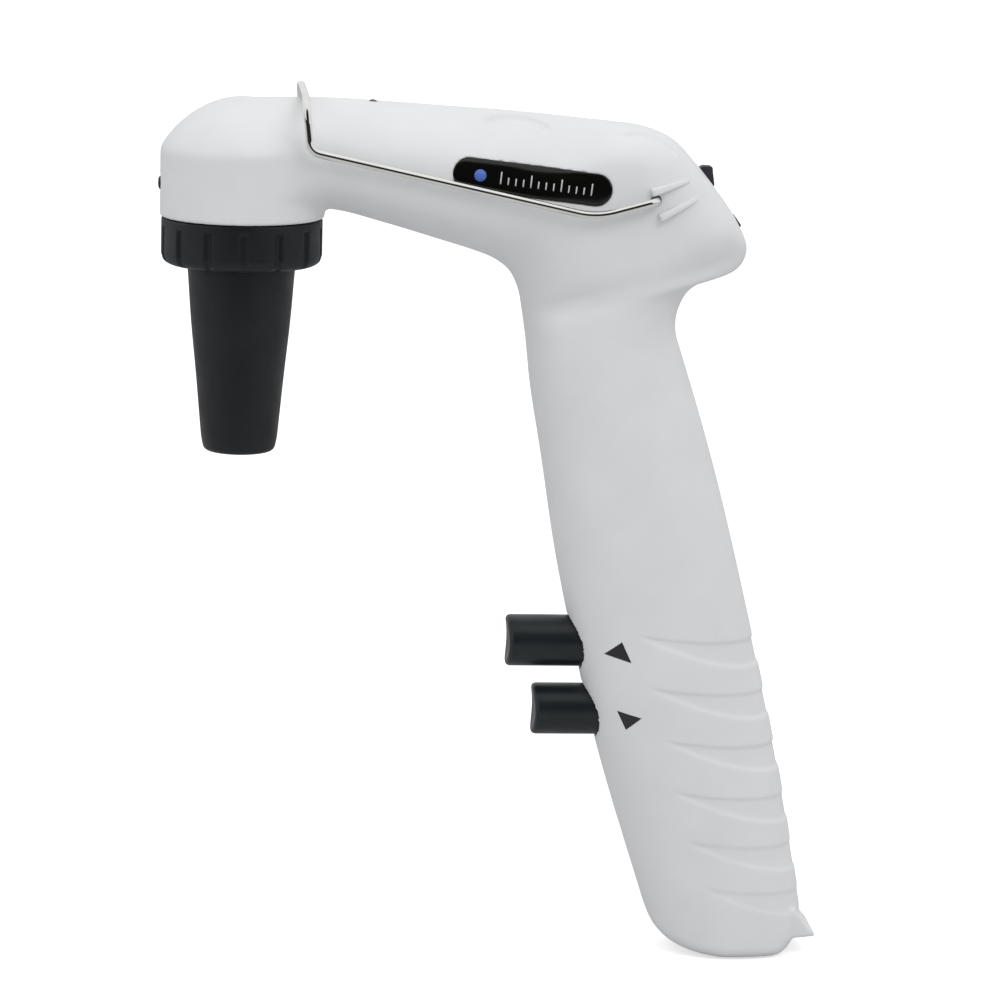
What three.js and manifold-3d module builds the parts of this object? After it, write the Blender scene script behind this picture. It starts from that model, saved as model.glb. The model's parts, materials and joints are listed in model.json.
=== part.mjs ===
// A motorized pipette controller: a pistol-grip air pump that holds a serological pipette.
//
// Millimetres. +Z is up, +X points to the back of the head, and the left half of the casing is
// on the -Y side. The parts are drawn from the centre of the nose cone's mouth, with the nose
// axis along Z. The whole controller then moves so that its origin is the middle of the flat
// sole of the handle.

import * as THREE from 'three';
import { mergeVertices } from 'three/addons/utils/BufferGeometryUtils.js';
import Module from 'manifold-3d';

const wasm = await Module();
wasm.setup();

// ---------------------------------------------------------------- driving dimensions

const GAP = 0.3; // clearance between neighbouring pieces
const WALL = 2.0; // thickness of the casing
const FAR = 400; // longer than anything in the object

const HEAD_RADIUS = 20.6; // nose end of the head, a vertical cylinder
const HEAD_BOTTOM = 59.6;
const HEAD_TOP = 89.9;
const DOME_START = 76.4;
const DOME_POWER = 1.8; // fullness of the dome over the nose
const HANDLE_BOTTOM = -128.4;
const SOLE = { front: 125.2, back: 138.5 }; // flat part of the handle's bottom
const FOOT_HALF_WIDTH = 9.5;
const LUG_HEIGHT = 1.8;

const RING_BOTTOM = 47.6;
const RING_RADIUS = 20.2;
const RING_RIBS = 14;
const WEB = 2.5; // inner lip of the ring nut, which carries the cone
const SPIGOT_RADIUS = 17.0;
const SPIGOT_BOTTOM = 52.6;
const CONE_MOUTH_RADIUS = 9.5;
const CONE_NECK_RADIUS = 13.3;
const MOUTH_BORE = 5.2;

const BUTTON_RADIUS = 6.6;
const BUTTON_FLANGE = 8.2;
const UPPER_BUTTON = { face: 68.3, flange: 92.8, z: -48.2 };
const LOWER_BUTTON = { face: 75.3, flange: 96.2, z: -66.0 };
const FLANGE_THICKNESS = 1.5;
const STEM_RADIUS = 1.9;
const STEM_END = 115;
const SPRING_RADIUS = 3.6;
const SPRING_WIRE = 0.35;
const SPRING_TURNS = 4;

const VALVE_FRONT = 105;
const VALVE_BACK = 121;
const VALVE_LEFT = -8.5;
const VALVE_RIGHT = 4.2;
const VALVE_TOP = -39;
const VALVE_FOOT = -74;

const PIVOT = { x: 102.3, z: 67.0 }; // hinge axis of the wire stand
const WIRE_RADIUS = 1.0;
const WIRE_SPREAD = 21.9; // half the width of the stand across its front
const WIRE_REACH = { x: 14.8, z: 91.3 }; // crossbar over the roof

const BADGE = { x: 71.3, z: 71.3, length: 40, height: 8.1, tilt: 0.115 };
const LED = { x: 32.2, radius: 1.1 };
const VENT = { z: 67.8, radius: 1.7 };

const MOTOR = { radius: 9.8, front: 42, back: 63, z: 70.8 };
const SHAFT_RADIUS = 1.0;
const ECCENTRIC = { radius: 3.2, throw: 1.2, front: 71.5, back: 74.5 };
const PUMP = { front: 64, back: 82, half: 8.6, bottom: 61.9, top: 79.0 };
const DIAPHRAGM = { x: 73, radius: 7, bottom: 60.4, top: 61.6 };

const CELL = { radius: 7.1, length: 50, pitch: 15.0 };
const HANDLE_CENTRE = { x: 98, z: 0 };
const HANDLE_LEAN = 0.2382; // the handle leans back towards its bottom, in radians

const TUBE_RADIUS = 1.9;
const CABLE_RADIUS = 0.8;

const SLOPE = { x: 118.5, z: 69.0, angle: 0.962 }; // rear slope: a point on it and its pitch
const SCREWS = [
  { x: 27, z: 81.2 },
  { x: 27, z: 67.6 },
  { x: 95.5, z: 75.5 },
  { x: 86, z: 33 },
  { x: 99, z: -35.6 },
  { x: 121, z: -116 },
];
const SCREW = { shank: 1.2, head: 2.6, seat: 8, tip: -7 };
const BOSS_RADIUS = 3.9;

// ---------------------------------------------------------------- solids and booleans

function solidFrom(geometry) {
  const bare = geometry.clone();
  bare.deleteAttribute('normal');
  bare.deleteAttribute('uv');
  const merged = mergeVertices(bare, 1e-4);
  return new wasm.Manifold(new wasm.Mesh({
    numProp: 3,
    vertProperties: new Float32Array(merged.attributes.position.array),
    triVerts: new Uint32Array(merged.index.array),
  }));
}

function geometryFrom(solid) {
  const mesh = solid.getMesh();
  const geometry = new THREE.BufferGeometry();
  geometry.setAttribute('position', new THREE.BufferAttribute(mesh.vertProperties, 3));
  geometry.setIndex(new THREE.BufferAttribute(mesh.triVerts, 1));
  geometry.computeVertexNormals();
  return geometry;
}

const join = (first, ...others) => others.reduce((sum, other) => sum.add(other), first);
const cut = (first, ...others) => others.reduce((rest, other) => rest.subtract(other), first);

// ---------------------------------------------------------------- basic shapes

function box(x0, x1, y0, y1, z0, z1) {
  const geometry = new THREE.BoxGeometry(x1 - x0, y1 - y0, z1 - z0);
  return solidFrom(geometry.translate((x0 + x1) / 2, (y0 + y1) / 2, (z0 + z1) / 2));
}

// A solid of revolution about the Z axis, from a list of [radius, height].
function latheGeometry(profile, segments = 32) {
  const points = profile.map(([radius, height]) => new THREE.Vector2(radius, height));
  return new THREE.LatheGeometry(points, segments).rotateX(Math.PI / 2);
}

const lathe = (profile, segments) => solidFrom(latheGeometry(profile, segments));

// A closed ring or sleeve: the profile returns to its first point.
const sleeve = (profile, segments) => lathe([...profile, profile[0]], segments);

function upright(radius, z0, z1, x = 0, y = 0, segments = 24) {
  const geometry = new THREE.CylinderGeometry(radius, radius, z1 - z0, segments);
  return solidFrom(geometry.rotateX(Math.PI / 2).translate(x, y, (z0 + z1) / 2));
}

function alongX(radius, x0, x1, y, z, segments = 24) {
  const geometry = new THREE.CylinderGeometry(radius, radius, x1 - x0, segments);
  return solidFrom(geometry.rotateZ(Math.PI / 2).translate((x0 + x1) / 2, y, z));
}

function alongY(radius, y0, y1, x, z, segments = 16) {
  const geometry = new THREE.CylinderGeometry(radius, radius, y1 - y0, segments);
  return solidFrom(geometry.translate(x, (y0 + y1) / 2, z));
}

// A shape drawn in x and z, extruded across the object from y0 to y1.
function plate(shape, y0, y1) {
  const geometry = new THREE.ExtrudeGeometry(shape, {
    depth: y1 - y0, bevelEnabled: false, curveSegments: 8,
  });
  return solidFrom(geometry.rotateX(Math.PI / 2).translate(0, y1, 0));
}

function outline(points) {
  return new THREE.Shape(points.map(([x, z]) => new THREE.Vector2(x, z)));
}

// Joins rings that hold the same number of points into one closed skin.
function loft(rings) {
  const count = rings[0].length;
  const positions = rings.flat().flatMap((point) => [point.x, point.y, point.z]);
  const faces = [];
  for (let ring = 0; ring + 1 < rings.length; ring += 1) {
    for (let side = 0; side < count; side += 1) {
      const next = (side + 1) % count;
      const a = ring * count + side;
      const b = ring * count + next;
      faces.push(a, b, b + count, a, b + count, a + count);
    }
  }
  const last = (rings.length - 1) * count;
  for (let side = 1; side + 1 < count; side += 1) {
    faces.push(0, side + 1, side, last, last + side, last + side + 1);
  }
  const geometry = new THREE.BufferGeometry();
  geometry.setAttribute('position', new THREE.Float32BufferAttribute(positions, 3));
  geometry.setIndex(faces);
  return geometry;
}

// Points along straight runs with rounded corners.
function roundedPath(corners, bend) {
  const points = [corners[0]];
  for (let index = 1; index + 1 < corners.length; index += 1) {
    const corner = corners[index];
    const before = corners[index - 1].clone().sub(corner);
    const after = corners[index + 1].clone().sub(corner);
    const start = corner.clone().add(before.setLength(Math.min(bend, before.length() / 2)));
    const end = corner.clone().add(after.setLength(Math.min(bend, after.length() / 2)));
    points.push(...new THREE.QuadraticBezierCurve3(start, corner, end).getPoints(3));
  }
  points.push(corners[corners.length - 1]);
  return points;
}

// A round bar of constant radius through a list of points.
function bar(points, radius, sides) {
  const rings = [];
  let across = new THREE.Vector3(0, 1, 0.13).normalize();
  points.forEach((point, index) => {
    const ahead = points[Math.min(index + 1, points.length - 1)];
    const behind = points[Math.max(index - 1, 0)];
    const along = ahead.clone().sub(behind).normalize();
    across = across.clone().addScaledVector(along, -across.dot(along)).normalize();
    const other = along.clone().cross(across);
    rings.push(Array.from({ length: sides }, (_, side) => {
      const angle = 2 * Math.PI * side / sides;
      return point.clone()
        .addScaledVector(across, radius * Math.cos(angle))
        .addScaledVector(other, radius * Math.sin(angle));
    }));
  });
  return loft(rings);
}

const at = (x, y, z) => new THREE.Vector3(x, y, z);

function run(corners, radius, { bend = 5, sides = 8 } = {}) {
  return bar(roundedPath(corners, bend), radius, sides);
}

// ---------------------------------------------------------------- the casing's form

// How square a cross-section is, as exponents of a superellipse, below and above its
// widest line.
const ARM = { low: [2.2, 2.0], high: [2.6, 1.35] };
const REAR = { low: [2.2, 2.1], high: [5.0, 2.5] };
const GRIP = { low: [2.0, 2.2], high: [2.3, 2.2] };
const WIDEST = 0.45;

// Cross-sections from the nose over the arm, fanned about the throat, and down the handle.
// Each spans from a point on the underside or front edge to one on the roof or back edge.
const STATIONS = [
  { near: [-2, 62.5], far: [-2, 89.5], half: 17.6, form: ARM },
  { near: [10, 62.0], far: [10, 89.8], half: 18.2, form: ARM },
  { near: [22.5, 61.9], far: [22.5, 89.8], half: 18.8, form: ARM },
  { near: [36, 58.6], far: [37, 89.1], half: 18.8, form: ARM },
  { near: [48.7, 54.9], far: [50.3, 88.3], half: 18.6, form: ARM },
  { near: [58.6, 51.9], far: [68, 87.1], half: 18.3, form: ARM },
  { near: [63.5, 49.9], far: [86, 85.2], half: 17.9, form: ARM },
  { near: [66.8, 47.5], far: [101, 83.3], half: 17.6, form: REAR },
  { near: [68.3, 45.4], far: [109, 81.1], half: 17.4, form: REAR },
  { near: [69.2, 43.4], far: [113.2, 76.6], half: 17.2, form: REAR },
  { near: [69.9, 41.5], far: [118.5, 69.0], half: 16.9, form: REAR, inset: 2.2 },
  { near: [70.3, 39.5], far: [124.5, 60.4], half: 16.3, form: REAR, inset: 4 },
  { near: [70.6, 37.6], far: [127.4, 53.2], half: 15.1, form: GRIP, inset: 8 },
  { near: [70.9, 36.0], far: [125.2, 48.4], half: 14.9, form: GRIP, inset: 12 },
  { near: [71.2, 34.3], far: [118.5, 46.3], half: 15.0, form: GRIP, inset: 7.5 },
  { near: [71.5, 32.3], far: [113, 42.9], half: 15.3, form: GRIP, inset: 4.5 },
  { near: [71.9, 29.8], far: [110.2, 37.5], half: 15.5, form: GRIP, inset: 3 },
  { near: [72.5, 24.5], far: [109.9, 32.0], half: 15.6, form: GRIP, inset: 2.4 },
  { near: [73.3, 18.0], far: [111.2, 27.7], half: 15.7, form: GRIP },
  { near: [76.6, -0.5], far: [117.2, 9.2], half: 15.9, form: GRIP },
  { near: [80.8, -25.2], far: [123.6, -12.8], half: 16.0, form: GRIP },
  { near: [87.3, -54.0], far: [131.8, -45.0], half: 15.9, form: GRIP },
  { near: [92.7, -75.4], far: [136.5, -64.8], half: 15.7, form: GRIP },
  { near: [99.5, -97.6], far: [141.3, -87.0], half: 15.4, form: GRIP },
  { near: [105.5, -116.7], far: [145, -107], half: 15.1, form: GRIP },
  { near: [116, -152], far: [151.6, -143], half: 14.6, form: GRIP },
];

// Half-width of a section at a height above or below its widest line, as a share of the most.
function fullness([power, root], height) {
  return Math.max(0, 1 - height ** power) ** (1 / root);
}

function sectionRing({ near, far, half, form, inset = WALL }, count, inward, widen) {
  const start = at(near[0], 0, near[1]);
  const end = at(far[0], 0, far[1]);
  const along = end.clone().sub(start).normalize();
  start.addScaledVector(along, inward ? WALL : 0);
  end.addScaledVector(along, inward ? -inset : 0);
  const widest = half + widen - (inward ? WALL : 0);
  return Array.from({ length: count }, (_, side) => {
    const angle = 2 * Math.PI * side / count;
    const height = Math.cos(angle);
    const above = height < 0;
    const share = above ? WIDEST - (1 - WIDEST) * height : WIDEST * (1 - height);
    const width = widest * fullness(above ? form.high : form.low, Math.abs(height));
    const point = start.clone().lerp(end, share);
    point.y = Math.sin(angle) < 0 ? -width : width;
    return point;
  });
}

function bodyLoft({ count, inward = false, widen = 0 }) {
  return solidFrom(loft(STATIONS.map((station) => sectionRing(station, count, inward, widen))));
}

// The domed cylinder over the nose, shrunk by an offset.
function noseForm(offset, bottom, segments) {
  const radius = HEAD_RADIUS - offset;
  const rise = HEAD_TOP - offset - DOME_START;
  const dome = [0, 0.4, 0.7, 0.9].map((share) => {
    const height = (1 - share ** DOME_POWER) ** (1 / DOME_POWER);
    return [radius * share, DOME_START + rise * height];
  });
  return lathe([[0, bottom], [radius, bottom], [radius, DOME_START], ...dome.reverse()], segments);
}

// The side view of the handle's end, which trims the loft to a flat bottom with round corners.
function handleEnd(offset) {
  const bottom = HANDLE_BOTTOM + offset;
  const shape = new THREE.Shape();
  shape.moveTo(-60, 120);
  shape.lineTo(-60, -60);
  shape.lineTo(60, -90);
  shape.lineTo(99 + offset, -97);
  shape.lineTo(105.4 + offset, -116.7);
  shape.bezierCurveTo(107.8 + offset, -123.6, 112, bottom + 1.3, SOLE.front, bottom);
  shape.lineTo(SOLE.back, bottom);
  shape.quadraticCurveTo(144 - offset, bottom, 146.4 - offset, -121.5);
  shape.lineTo(160, -116.5);
  shape.lineTo(160, 120);
  return plate(shape, -40, 40);
}

function foot() {
  const wedge = outline([
    [145.6, -114.6], [150, -123.4], [149.3, -124.1], [145, -124.3], [137, -124.3], [137, -115.5],
  ]);
  return plate(wedge, -FOOT_HALF_WIDTH, FOOT_HALF_WIDTH);
}

// Two short ribs behind the pivot, between which the flipped wire stand lies.
function standLugs(side) {
  const lug = (x0, z0, x1, z1) => {
    const rib = outline([[x0, z0 - 1], [x1, z1 - 1], [x1 + 0.6, z1], [x1, z1 + 1], [x0, z0 + 1]]);
    return side < 0 ? plate(rib, -FAR, -9) : plate(rib, 9, FAR);
  };
  return join(lug(102.2, 69.9, 110.4, 72.2), lug(103.6, 62.6, 112.4, 66.9))
    .intersect(bodyLoft({ count: 24, widen: LUG_HEIGHT }));
}

// ---------------------------------------------------------------- openings in the casing

// Maps a solid made about the origin, with its axis along +Z, onto the rear slope.
// The first argument runs down the slope, the second is the depth.
function onSlope(solid, down, depth) {
  const tilt = Math.PI / 2 - Math.atan2(Math.cos(SLOPE.angle), Math.sin(SLOPE.angle));
  const matrix = new THREE.Matrix4().makeRotationY(tilt);
  const tangent = at(Math.cos(SLOPE.angle), 0, -Math.sin(SLOPE.angle));
  const normal = at(Math.sin(SLOPE.angle), 0, Math.cos(SLOPE.angle));
  const place = at(SLOPE.x, 0, SLOPE.z)
    .addScaledVector(tangent, down)
    .addScaledVector(normal, depth);
  matrix.setPosition(place);
  return solid.transform(matrix.elements);
}

const SWITCH_DOWN = -3.1;
const SWITCH_TRAVEL = 2; // each way from the middle
const KNOB_HALF = 3;
const SOCKET_DOWN = 10.6;
const SOCKET_RADIUS = 1.9;

function stadium(x, z, length, height, tilt) {
  const radius = height / 2;
  const reach = length / 2 - radius;
  const shape = new THREE.Shape();
  const centre = (side) => [x + side * reach * Math.cos(tilt), z - side * reach * Math.sin(tilt)];
  shape.absarc(...centre(-1), radius, Math.PI / 2 - tilt, Math.PI * 1.5 - tilt, false);
  shape.absarc(...centre(1), radius, -Math.PI / 2 - tilt, Math.PI / 2 - tilt, false);
  return shape;
}

function badgePrism(margin, side) {
  const shape = stadium(BADGE.x, BADGE.z, BADGE.length + margin, BADGE.height + margin, BADGE.tilt);
  return side < 0 ? plate(shape, -30, -10) : plate(shape, 10, 30);
}

function openings() {
  const slotHalf = KNOB_HALF + SWITCH_TRAVEL + GAP;
  const slot = box(-slotHalf, slotHalf, -2.2, 2.2, -12, 6);
  return join(
    upright(SPIGOT_RADIUS + GAP, 50, 62.5, 0, 0, 24),
    upright(LED.radius + GAP, 80, 95, LED.x, 0, 12),
    alongX(VENT.radius + GAP, -25, -15, 0, VENT.z, 16),
    alongX(BUTTON_RADIUS + GAP, 60, 99, 0, UPPER_BUTTON.z, 24),
    alongX(BUTTON_RADIUS + GAP, 60, 100, 0, LOWER_BUTTON.z, 24),
    alongY(WIRE_RADIUS + GAP, -30, 30, PIVOT.x, PIVOT.z, 16),
    onSlope(slot, SWITCH_DOWN, 0),
    onSlope(upright(SOCKET_RADIUS + GAP, -14, 6, 0, 0, 16), SOCKET_DOWN, 0),
  );
}

function screwBosses() {
  return join(...SCREWS.map(({ x, z }) => alongY(BOSS_RADIUS, -25, 25, x, z, 12)));
}

function screwHoles() {
  return join(...SCREWS.map(({ x, z }) => join(
    alongY(SCREW.shank + GAP, SCREW.tip - 1.5, 25, x, z, 8),
    alongY(SCREW.head + GAP, SCREW.seat - GAP, 25, x, z, 12),
  )));
}

// Ribs that carry the motor, with a passage on each side for the tubes and cables.
function motorRibs() {
  const ribs = [46, 57].map((x) => cut(
    box(x, x + 1.6, -25, 25, 50, 95),
    box(x - 1, x + 3, 10.4, 25, 64.5, 77.5),
    box(x - 1, x + 3, -25, -10.4, 64.5, 77.5),
  ));
  return cut(join(...ribs), alongX(MOTOR.radius + GAP, 40, 62, 0, MOTOR.z, 20));
}

// A ring inside the head that holds the nozzle seat down.
function seatRing() {
  return sleeve([[16.4, 64.4], [19.5, 64.4], [19.5, 65.1], [16.4, 65.1]], 32);
}

function makeCasing() {
  const outer = join(bodyLoft({ count: 24 }), noseForm(0, HEAD_BOTTOM, 36));
  const trimmed = join(outer.intersect(handleEnd(0)), foot());
  const hollow = join(
    bodyLoft({ count: 12, inward: true }),
    noseForm(WALL, HEAD_BOTTOM + WALL, 18),
  ).intersect(handleEnd(WALL + 0.4));
  const supports = join(screwBosses(), motorRibs(), seatRing()).intersect(outer);
  const lugged = join(trimmed, standLugs(-1).subtract(hollow), standLugs(1).subtract(hollow));
  const recess = join(badgePrism(2 * GAP, -1), badgePrism(2 * GAP, 1))
    .subtract(bodyLoft({ count: 24, widen: -1.2 }));
  const shell = join(lugged.subtract(hollow), supports.intersect(trimmed));
  const opened = cut(shell, openings(), screwHoles(), recess);
  return {
    left: opened.intersect(box(-FAR, FAR, -FAR, -GAP / 2, -FAR, FAR)),
    right: opened.intersect(box(-FAR, FAR, GAP / 2, FAR, -FAR, FAR)),
  };
}

// ---------------------------------------------------------------- nose

function ringNut() {
  const top = HEAD_BOTTOM - GAP;
  const body = sleeve([
    [CONE_NECK_RADIUS + 0.4, RING_BOTTOM], [RING_RADIUS - 2.2, RING_BOTTOM],
    [RING_RADIUS - 0.7, RING_BOTTOM + 0.8], [RING_RADIUS, RING_BOTTOM + 2.4],
    [RING_RADIUS, top], [SPIGOT_RADIUS + GAP, top],
    [SPIGOT_RADIUS + GAP, RING_BOTTOM + WEB], [CONE_NECK_RADIUS + 0.4, RING_BOTTOM + WEB],
  ], 28);
  const grooves = Array.from({ length: RING_RIBS }, (_, index) => {
    const groove = box(RING_RADIUS - 0.7, RING_RADIUS + 2, -0.85, 0.85, RING_BOTTOM - 1, top - 1.8);
    return groove.rotate([0, 0, 360 * (index + 0.5) / RING_RIBS]);
  });
  return cut(body, ...grooves);
}

function noseCone() {
  const flangeTop = SPIGOT_BOTTOM - GAP;
  const flangeBottom = RING_BOTTOM + WEB + GAP;
  return sleeve([
    [MOUTH_BORE, 0], [6.6, 0], [8.4, 0.8], [CONE_MOUTH_RADIUS, 3.6],
    [11.1, 20], [12.5, 33], [CONE_NECK_RADIUS, 44.5],
    [CONE_NECK_RADIUS, flangeBottom], [16.4, flangeBottom], [16.4, flangeTop],
    [11.4, flangeTop], [10.8, 36], [7.5, 2], [MOUTH_BORE, 2],
  ], 26);
}

function pipetteHolder() {
  return sleeve([
    [5.0, 2.4], [6.9, 2.4], [8.6, 20], [10.3, 37.4],
    [2.8, 37.4], [2.8, 31], [4.0, 29], [3.5, 22], [4.0, 19.5], [3.5, 12], [4.0, 9.5], [3.7, 5],
  ], 16);
}

function membraneFilter() {
  return sleeve([
    [1.2, 32], [2.4, 32], [2.4, 37.8], [9.6, 37.8], [10.2, 38.6], [10.2, 42.2], [9.6, 43],
    [3.0, 43], [3.0, 51], [1.2, 51],
  ], 18);
}

const filterGasket = () => sleeve([[3.4, 43.4], [5.2, 43.4], [5.2, 60.5], [3.4, 60.5]], 20);

function nozzleSeat() {
  const plateTop = 64.1;
  const plateBottom = HEAD_BOTTOM + WALL + GAP;
  return sleeve([
    [1.2, 56], [3.0, 56], [3.0, plateBottom], [14.8, plateBottom], [14.8, SPIGOT_BOTTOM],
    [SPIGOT_RADIUS, SPIGOT_BOTTOM], [SPIGOT_RADIUS, plateBottom], [18.2, plateBottom],
    [18.2, plateTop], [2.6, plateTop], [2.6, 68.4], [2.0, 69.4], [1.2, 69.4],
  ], 24);
}

// ---------------------------------------------------------------- buttons and valves

// Front face dished for a fingertip, a rounded rim, and a flange that stops in the casing.
function button({ face, flange }) {
  const back = flange + FLANGE_THICKNESS;
  const profile = [
    [0, face + 1.1], [3.2, face + 0.8], [5.0, face + 0.2], [5.8, face], [6.4, face + 0.5],
    [BUTTON_RADIUS, face + 1.3], [BUTTON_RADIUS, flange], [BUTTON_FLANGE, flange],
    [BUTTON_FLANGE, back], [2.6, back], [2.6, back - 6], [0, back - 6],
  ];
  return latheGeometry(profile, 20).rotateY(Math.PI / 2);
}

// A spool that joins the button's socket to the valve bore, with a waist that lets air by.
function valveStem({ flange }) {
  const start = flange + FLANGE_THICKNESS - 5.7;
  const profile = [
    [0, start], [2.3, start], [2.3, start + 5.4], [STEM_RADIUS, start + 6],
    [STEM_RADIUS, 108], [1.2, 108.6], [1.2, 111], [STEM_RADIUS, 111.6],
    [STEM_RADIUS, STEM_END - 0.6], [1.4, STEM_END], [0, STEM_END],
  ];
  return latheGeometry(profile, 12).rotateY(Math.PI / 2);
}

function returnSpring({ flange, z }) {
  const start = flange + FLANGE_THICKNESS + SPRING_WIRE + 0.1;
  const length = VALVE_FRONT - SPRING_WIRE - 0.1 - start;
  const steps = SPRING_TURNS * 7;
  const points = Array.from({ length: steps + 1 }, (_, step) => {
    const turn = 2 * Math.PI * step / 7;
    const x = start + length * step / steps;
    return at(x, SPRING_RADIUS * Math.cos(turn), z + SPRING_RADIUS * Math.sin(turn));
  });
  return bar(points, SPRING_WIRE, 4);
}

function valveRing({ z }) {
  const ring = new THREE.TorusGeometry(2.75, 0.45, 5, 14);
  return ring.rotateY(Math.PI / 2).translate(VALVE_FRONT + 1.4, 0, z);
}

const VALVE_PORTS = [
  { x: 109, y: -5.5 },
  { x: 117, y: -5.5 },
  { x: 117, y: 1 },
];

function valveBlock() {
  const block = box(VALVE_FRONT, VALVE_BACK, VALVE_LEFT, VALVE_RIGHT, VALVE_FOOT, VALVE_TOP);
  const bores = [UPPER_BUTTON, LOWER_BUTTON].flatMap(({ z }) => [
    alongX(STEM_RADIUS + GAP, 100, VALVE_BACK - 1.5, 0, z, 12),
    alongX(3.5, 100, VALVE_FRONT + 2.6, 0, z, 12),
  ]);
  const barbs = VALVE_PORTS.map(({ x, y }) => upright(1.5, VALVE_TOP - 2, VALVE_TOP + 4, x, y, 8));
  const drillings = VALVE_PORTS.map(({ x, y }) => upright(0.8, -68, VALVE_TOP + 9, x, y, 6));
  return cut(join(block, ...barbs), ...bores, ...drillings);
}

function microswitch({ z, flange }) {
  const front = flange + FLANGE_THICKNESS + 4.8;
  const body = box(front, front + 12.6, 5.0, 10.8, z - 3.2, z + 3.2);
  return join(body, alongX(0.8, front - 0.6, front + 1, 7.2, z, 10));
}

// ---------------------------------------------------------------- pump

const motorCan = () => cut(
  join(
    alongX(MOTOR.radius, MOTOR.front, MOTOR.back, 0, MOTOR.z, 20),
    alongX(3, MOTOR.front - 1.6, MOTOR.front + 1, 0, MOTOR.z, 16),
  ),
  alongX(SHAFT_RADIUS + GAP, MOTOR.back - 8, MOTOR.back + 1, 0, MOTOR.z, 12),
);

function motorShaft() {
  const { radius, front, back } = ECCENTRIC;
  return join(
    alongX(SHAFT_RADIUS, MOTOR.back - 7.5, 78, 0, MOTOR.z, 12),
    alongX(radius, front, back, 0, MOTOR.z + ECCENTRIC.throw, 20),
  );
}

// The rod's eye is wide enough for the eccentric to turn inside it.
function connectingRod() {
  const eye = ECCENTRIC.radius + ECCENTRIC.throw + GAP;
  const { front, back } = ECCENTRIC;
  const body = join(
    alongX(eye + 1.4, front + 0.3, back - 0.3, 0, MOTOR.z, 16),
    box(front + 0.3, back - 0.3, -1.6, 1.6, 62.4, MOTOR.z - eye),
    upright(4.2, 61.9, 62.9, DIAPHRAGM.x, 0, 16),
  );
  return cut(body, alongX(eye, front - 1, back + 1, 0, MOTOR.z, 16));
}

function pumpHousing() {
  const { front, back, half, bottom, top } = PUMP;
  return cut(
    box(front, back, -half, half, bottom, top),
    box(front + 2, back - 2, -half + 1.8, half - 1.8, bottom - 1, top - 1.8),
    alongX(1.6, front - 1, front + 3, 0, MOTOR.z, 12),
  );
}

function diaphragm() {
  const { x, radius, bottom, top } = DIAPHRAGM;
  const disc = lathe([
    [0, bottom], [radius, bottom], [radius, top], [6, top], [5.4, top - 0.5], [4.8, top], [0, top],
  ], 16);
  return disc.translate([x, 0, 0]);
}

const PUMP_PORTS = [-4.5, 4.5];

function pumpHead() {
  const top = DIAPHRAGM.bottom - GAP;
  const ports = PUMP_PORTS.map((y) => alongX(1.5, PUMP.back - 4, PUMP.back + 5, y, 57, 12));
  const holes = PUMP_PORTS.map((y) => alongX(0.8, PUMP.back - 8, PUMP.back + 6, y, 57, 8));
  return cut(join(box(66, PUMP.back - 1, -7.6, 7.6, 53.8, top), ...ports), ...holes);
}

// ---------------------------------------------------------------- power and controls

// Moves a solid made about the origin into the upper handle, along its leaning axis.
function inHandle(solid, back, up, y = 0) {
  const matrix = new THREE.Matrix4().makeRotationY(-HANDLE_LEAN);
  const offset = at(back, y, up).applyMatrix4(matrix);
  matrix.setPosition(HANDLE_CENTRE.x + offset.x, offset.y, HANDLE_CENTRE.z + offset.z);
  return solid.transform(matrix.elements);
}

function batteryCell(back) {
  const half = CELL.length / 2;
  const { radius } = CELL;
  const cell = lathe([
    [0, -half], [radius, -half], [radius, half - 1.4], [2.6, half - 1.4], [2.6, half], [0, half],
  ], 18);
  return inHandle(cell, back, 0);
}

function batteryCradle() {
  const end = CELL.length / 2 + GAP;
  const reach = CELL.pitch / 2 + CELL.radius - 0.6;
  const tray = box(-reach, reach, 3, 7.8, -end - 1.4, end + 1.4);
  const ends = [-end - 1.4, end].map((z) => box(-reach, reach, -5, 7.8, z, z + 1.4));
  const wells = [-0.5, 0.5].map((side) => (
    upright(CELL.radius + GAP, -end, end, side * CELL.pitch, 0, 18)
  ));
  return inHandle(cut(join(tray, ...ends), ...wells), 0, 0);
}

const circuitBoard = () => onSlope(box(-10, 8, -9, 9, -0.6, 0.6), 0, -8.2);
const switchBody = () => onSlope(box(-4.5, 4.5, -3, 3, -2.2, 1.4), SWITCH_DOWN, -5);

// A thumb knob that is proud at its upper end and falls away down the slope.
function switchKnob() {
  const side = outline([
    [-3, 0], [3, 0], [3, 2.8], [-0.7, 5.2], [-1.4, 5.4], [-1.9, 5.1], [-3, 3.2],
  ]);
  const knob = plate(side, -1.9, 1.9);
  return onSlope(knob, SWITCH_DOWN, -2.7);
}

function chargeSocket() {
  const barrel = sleeve([
    [1.2, -6.5], [SOCKET_RADIUS, -6.5], [SOCKET_RADIUS, 0.6], [1.2, 0.6],
  ], 14);
  const back = upright(SOCKET_RADIUS, -8, -6.4, 0, 0, 14);
  return onSlope(join(barrel, back), SOCKET_DOWN, 0);
}

const statusLed = () => lathe([
  [0, 85.6], [1.6, 85.6], [1.6, 86.6], [LED.radius, 86.6], [LED.radius, 89.7], [0.6, 90.1], [0, 90.1],
], 12).translate([LED.x, 0, 0]);

const ventPlug = () => join(
  alongX(VENT.radius, -21.1, -17.9, 0, VENT.z, 12),
  alongX(VENT.radius + 0.8, -18.2, -17.2, 0, VENT.z, 12),
);

// ---------------------------------------------------------------- covers, wire and fasteners

function badge(side) {
  return badgePrism(0, side)
    .intersect(bodyLoft({ count: 24, widen: 0.3 }))
    .subtract(bodyLoft({ count: 24, widen: -0.9 }));
}

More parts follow.
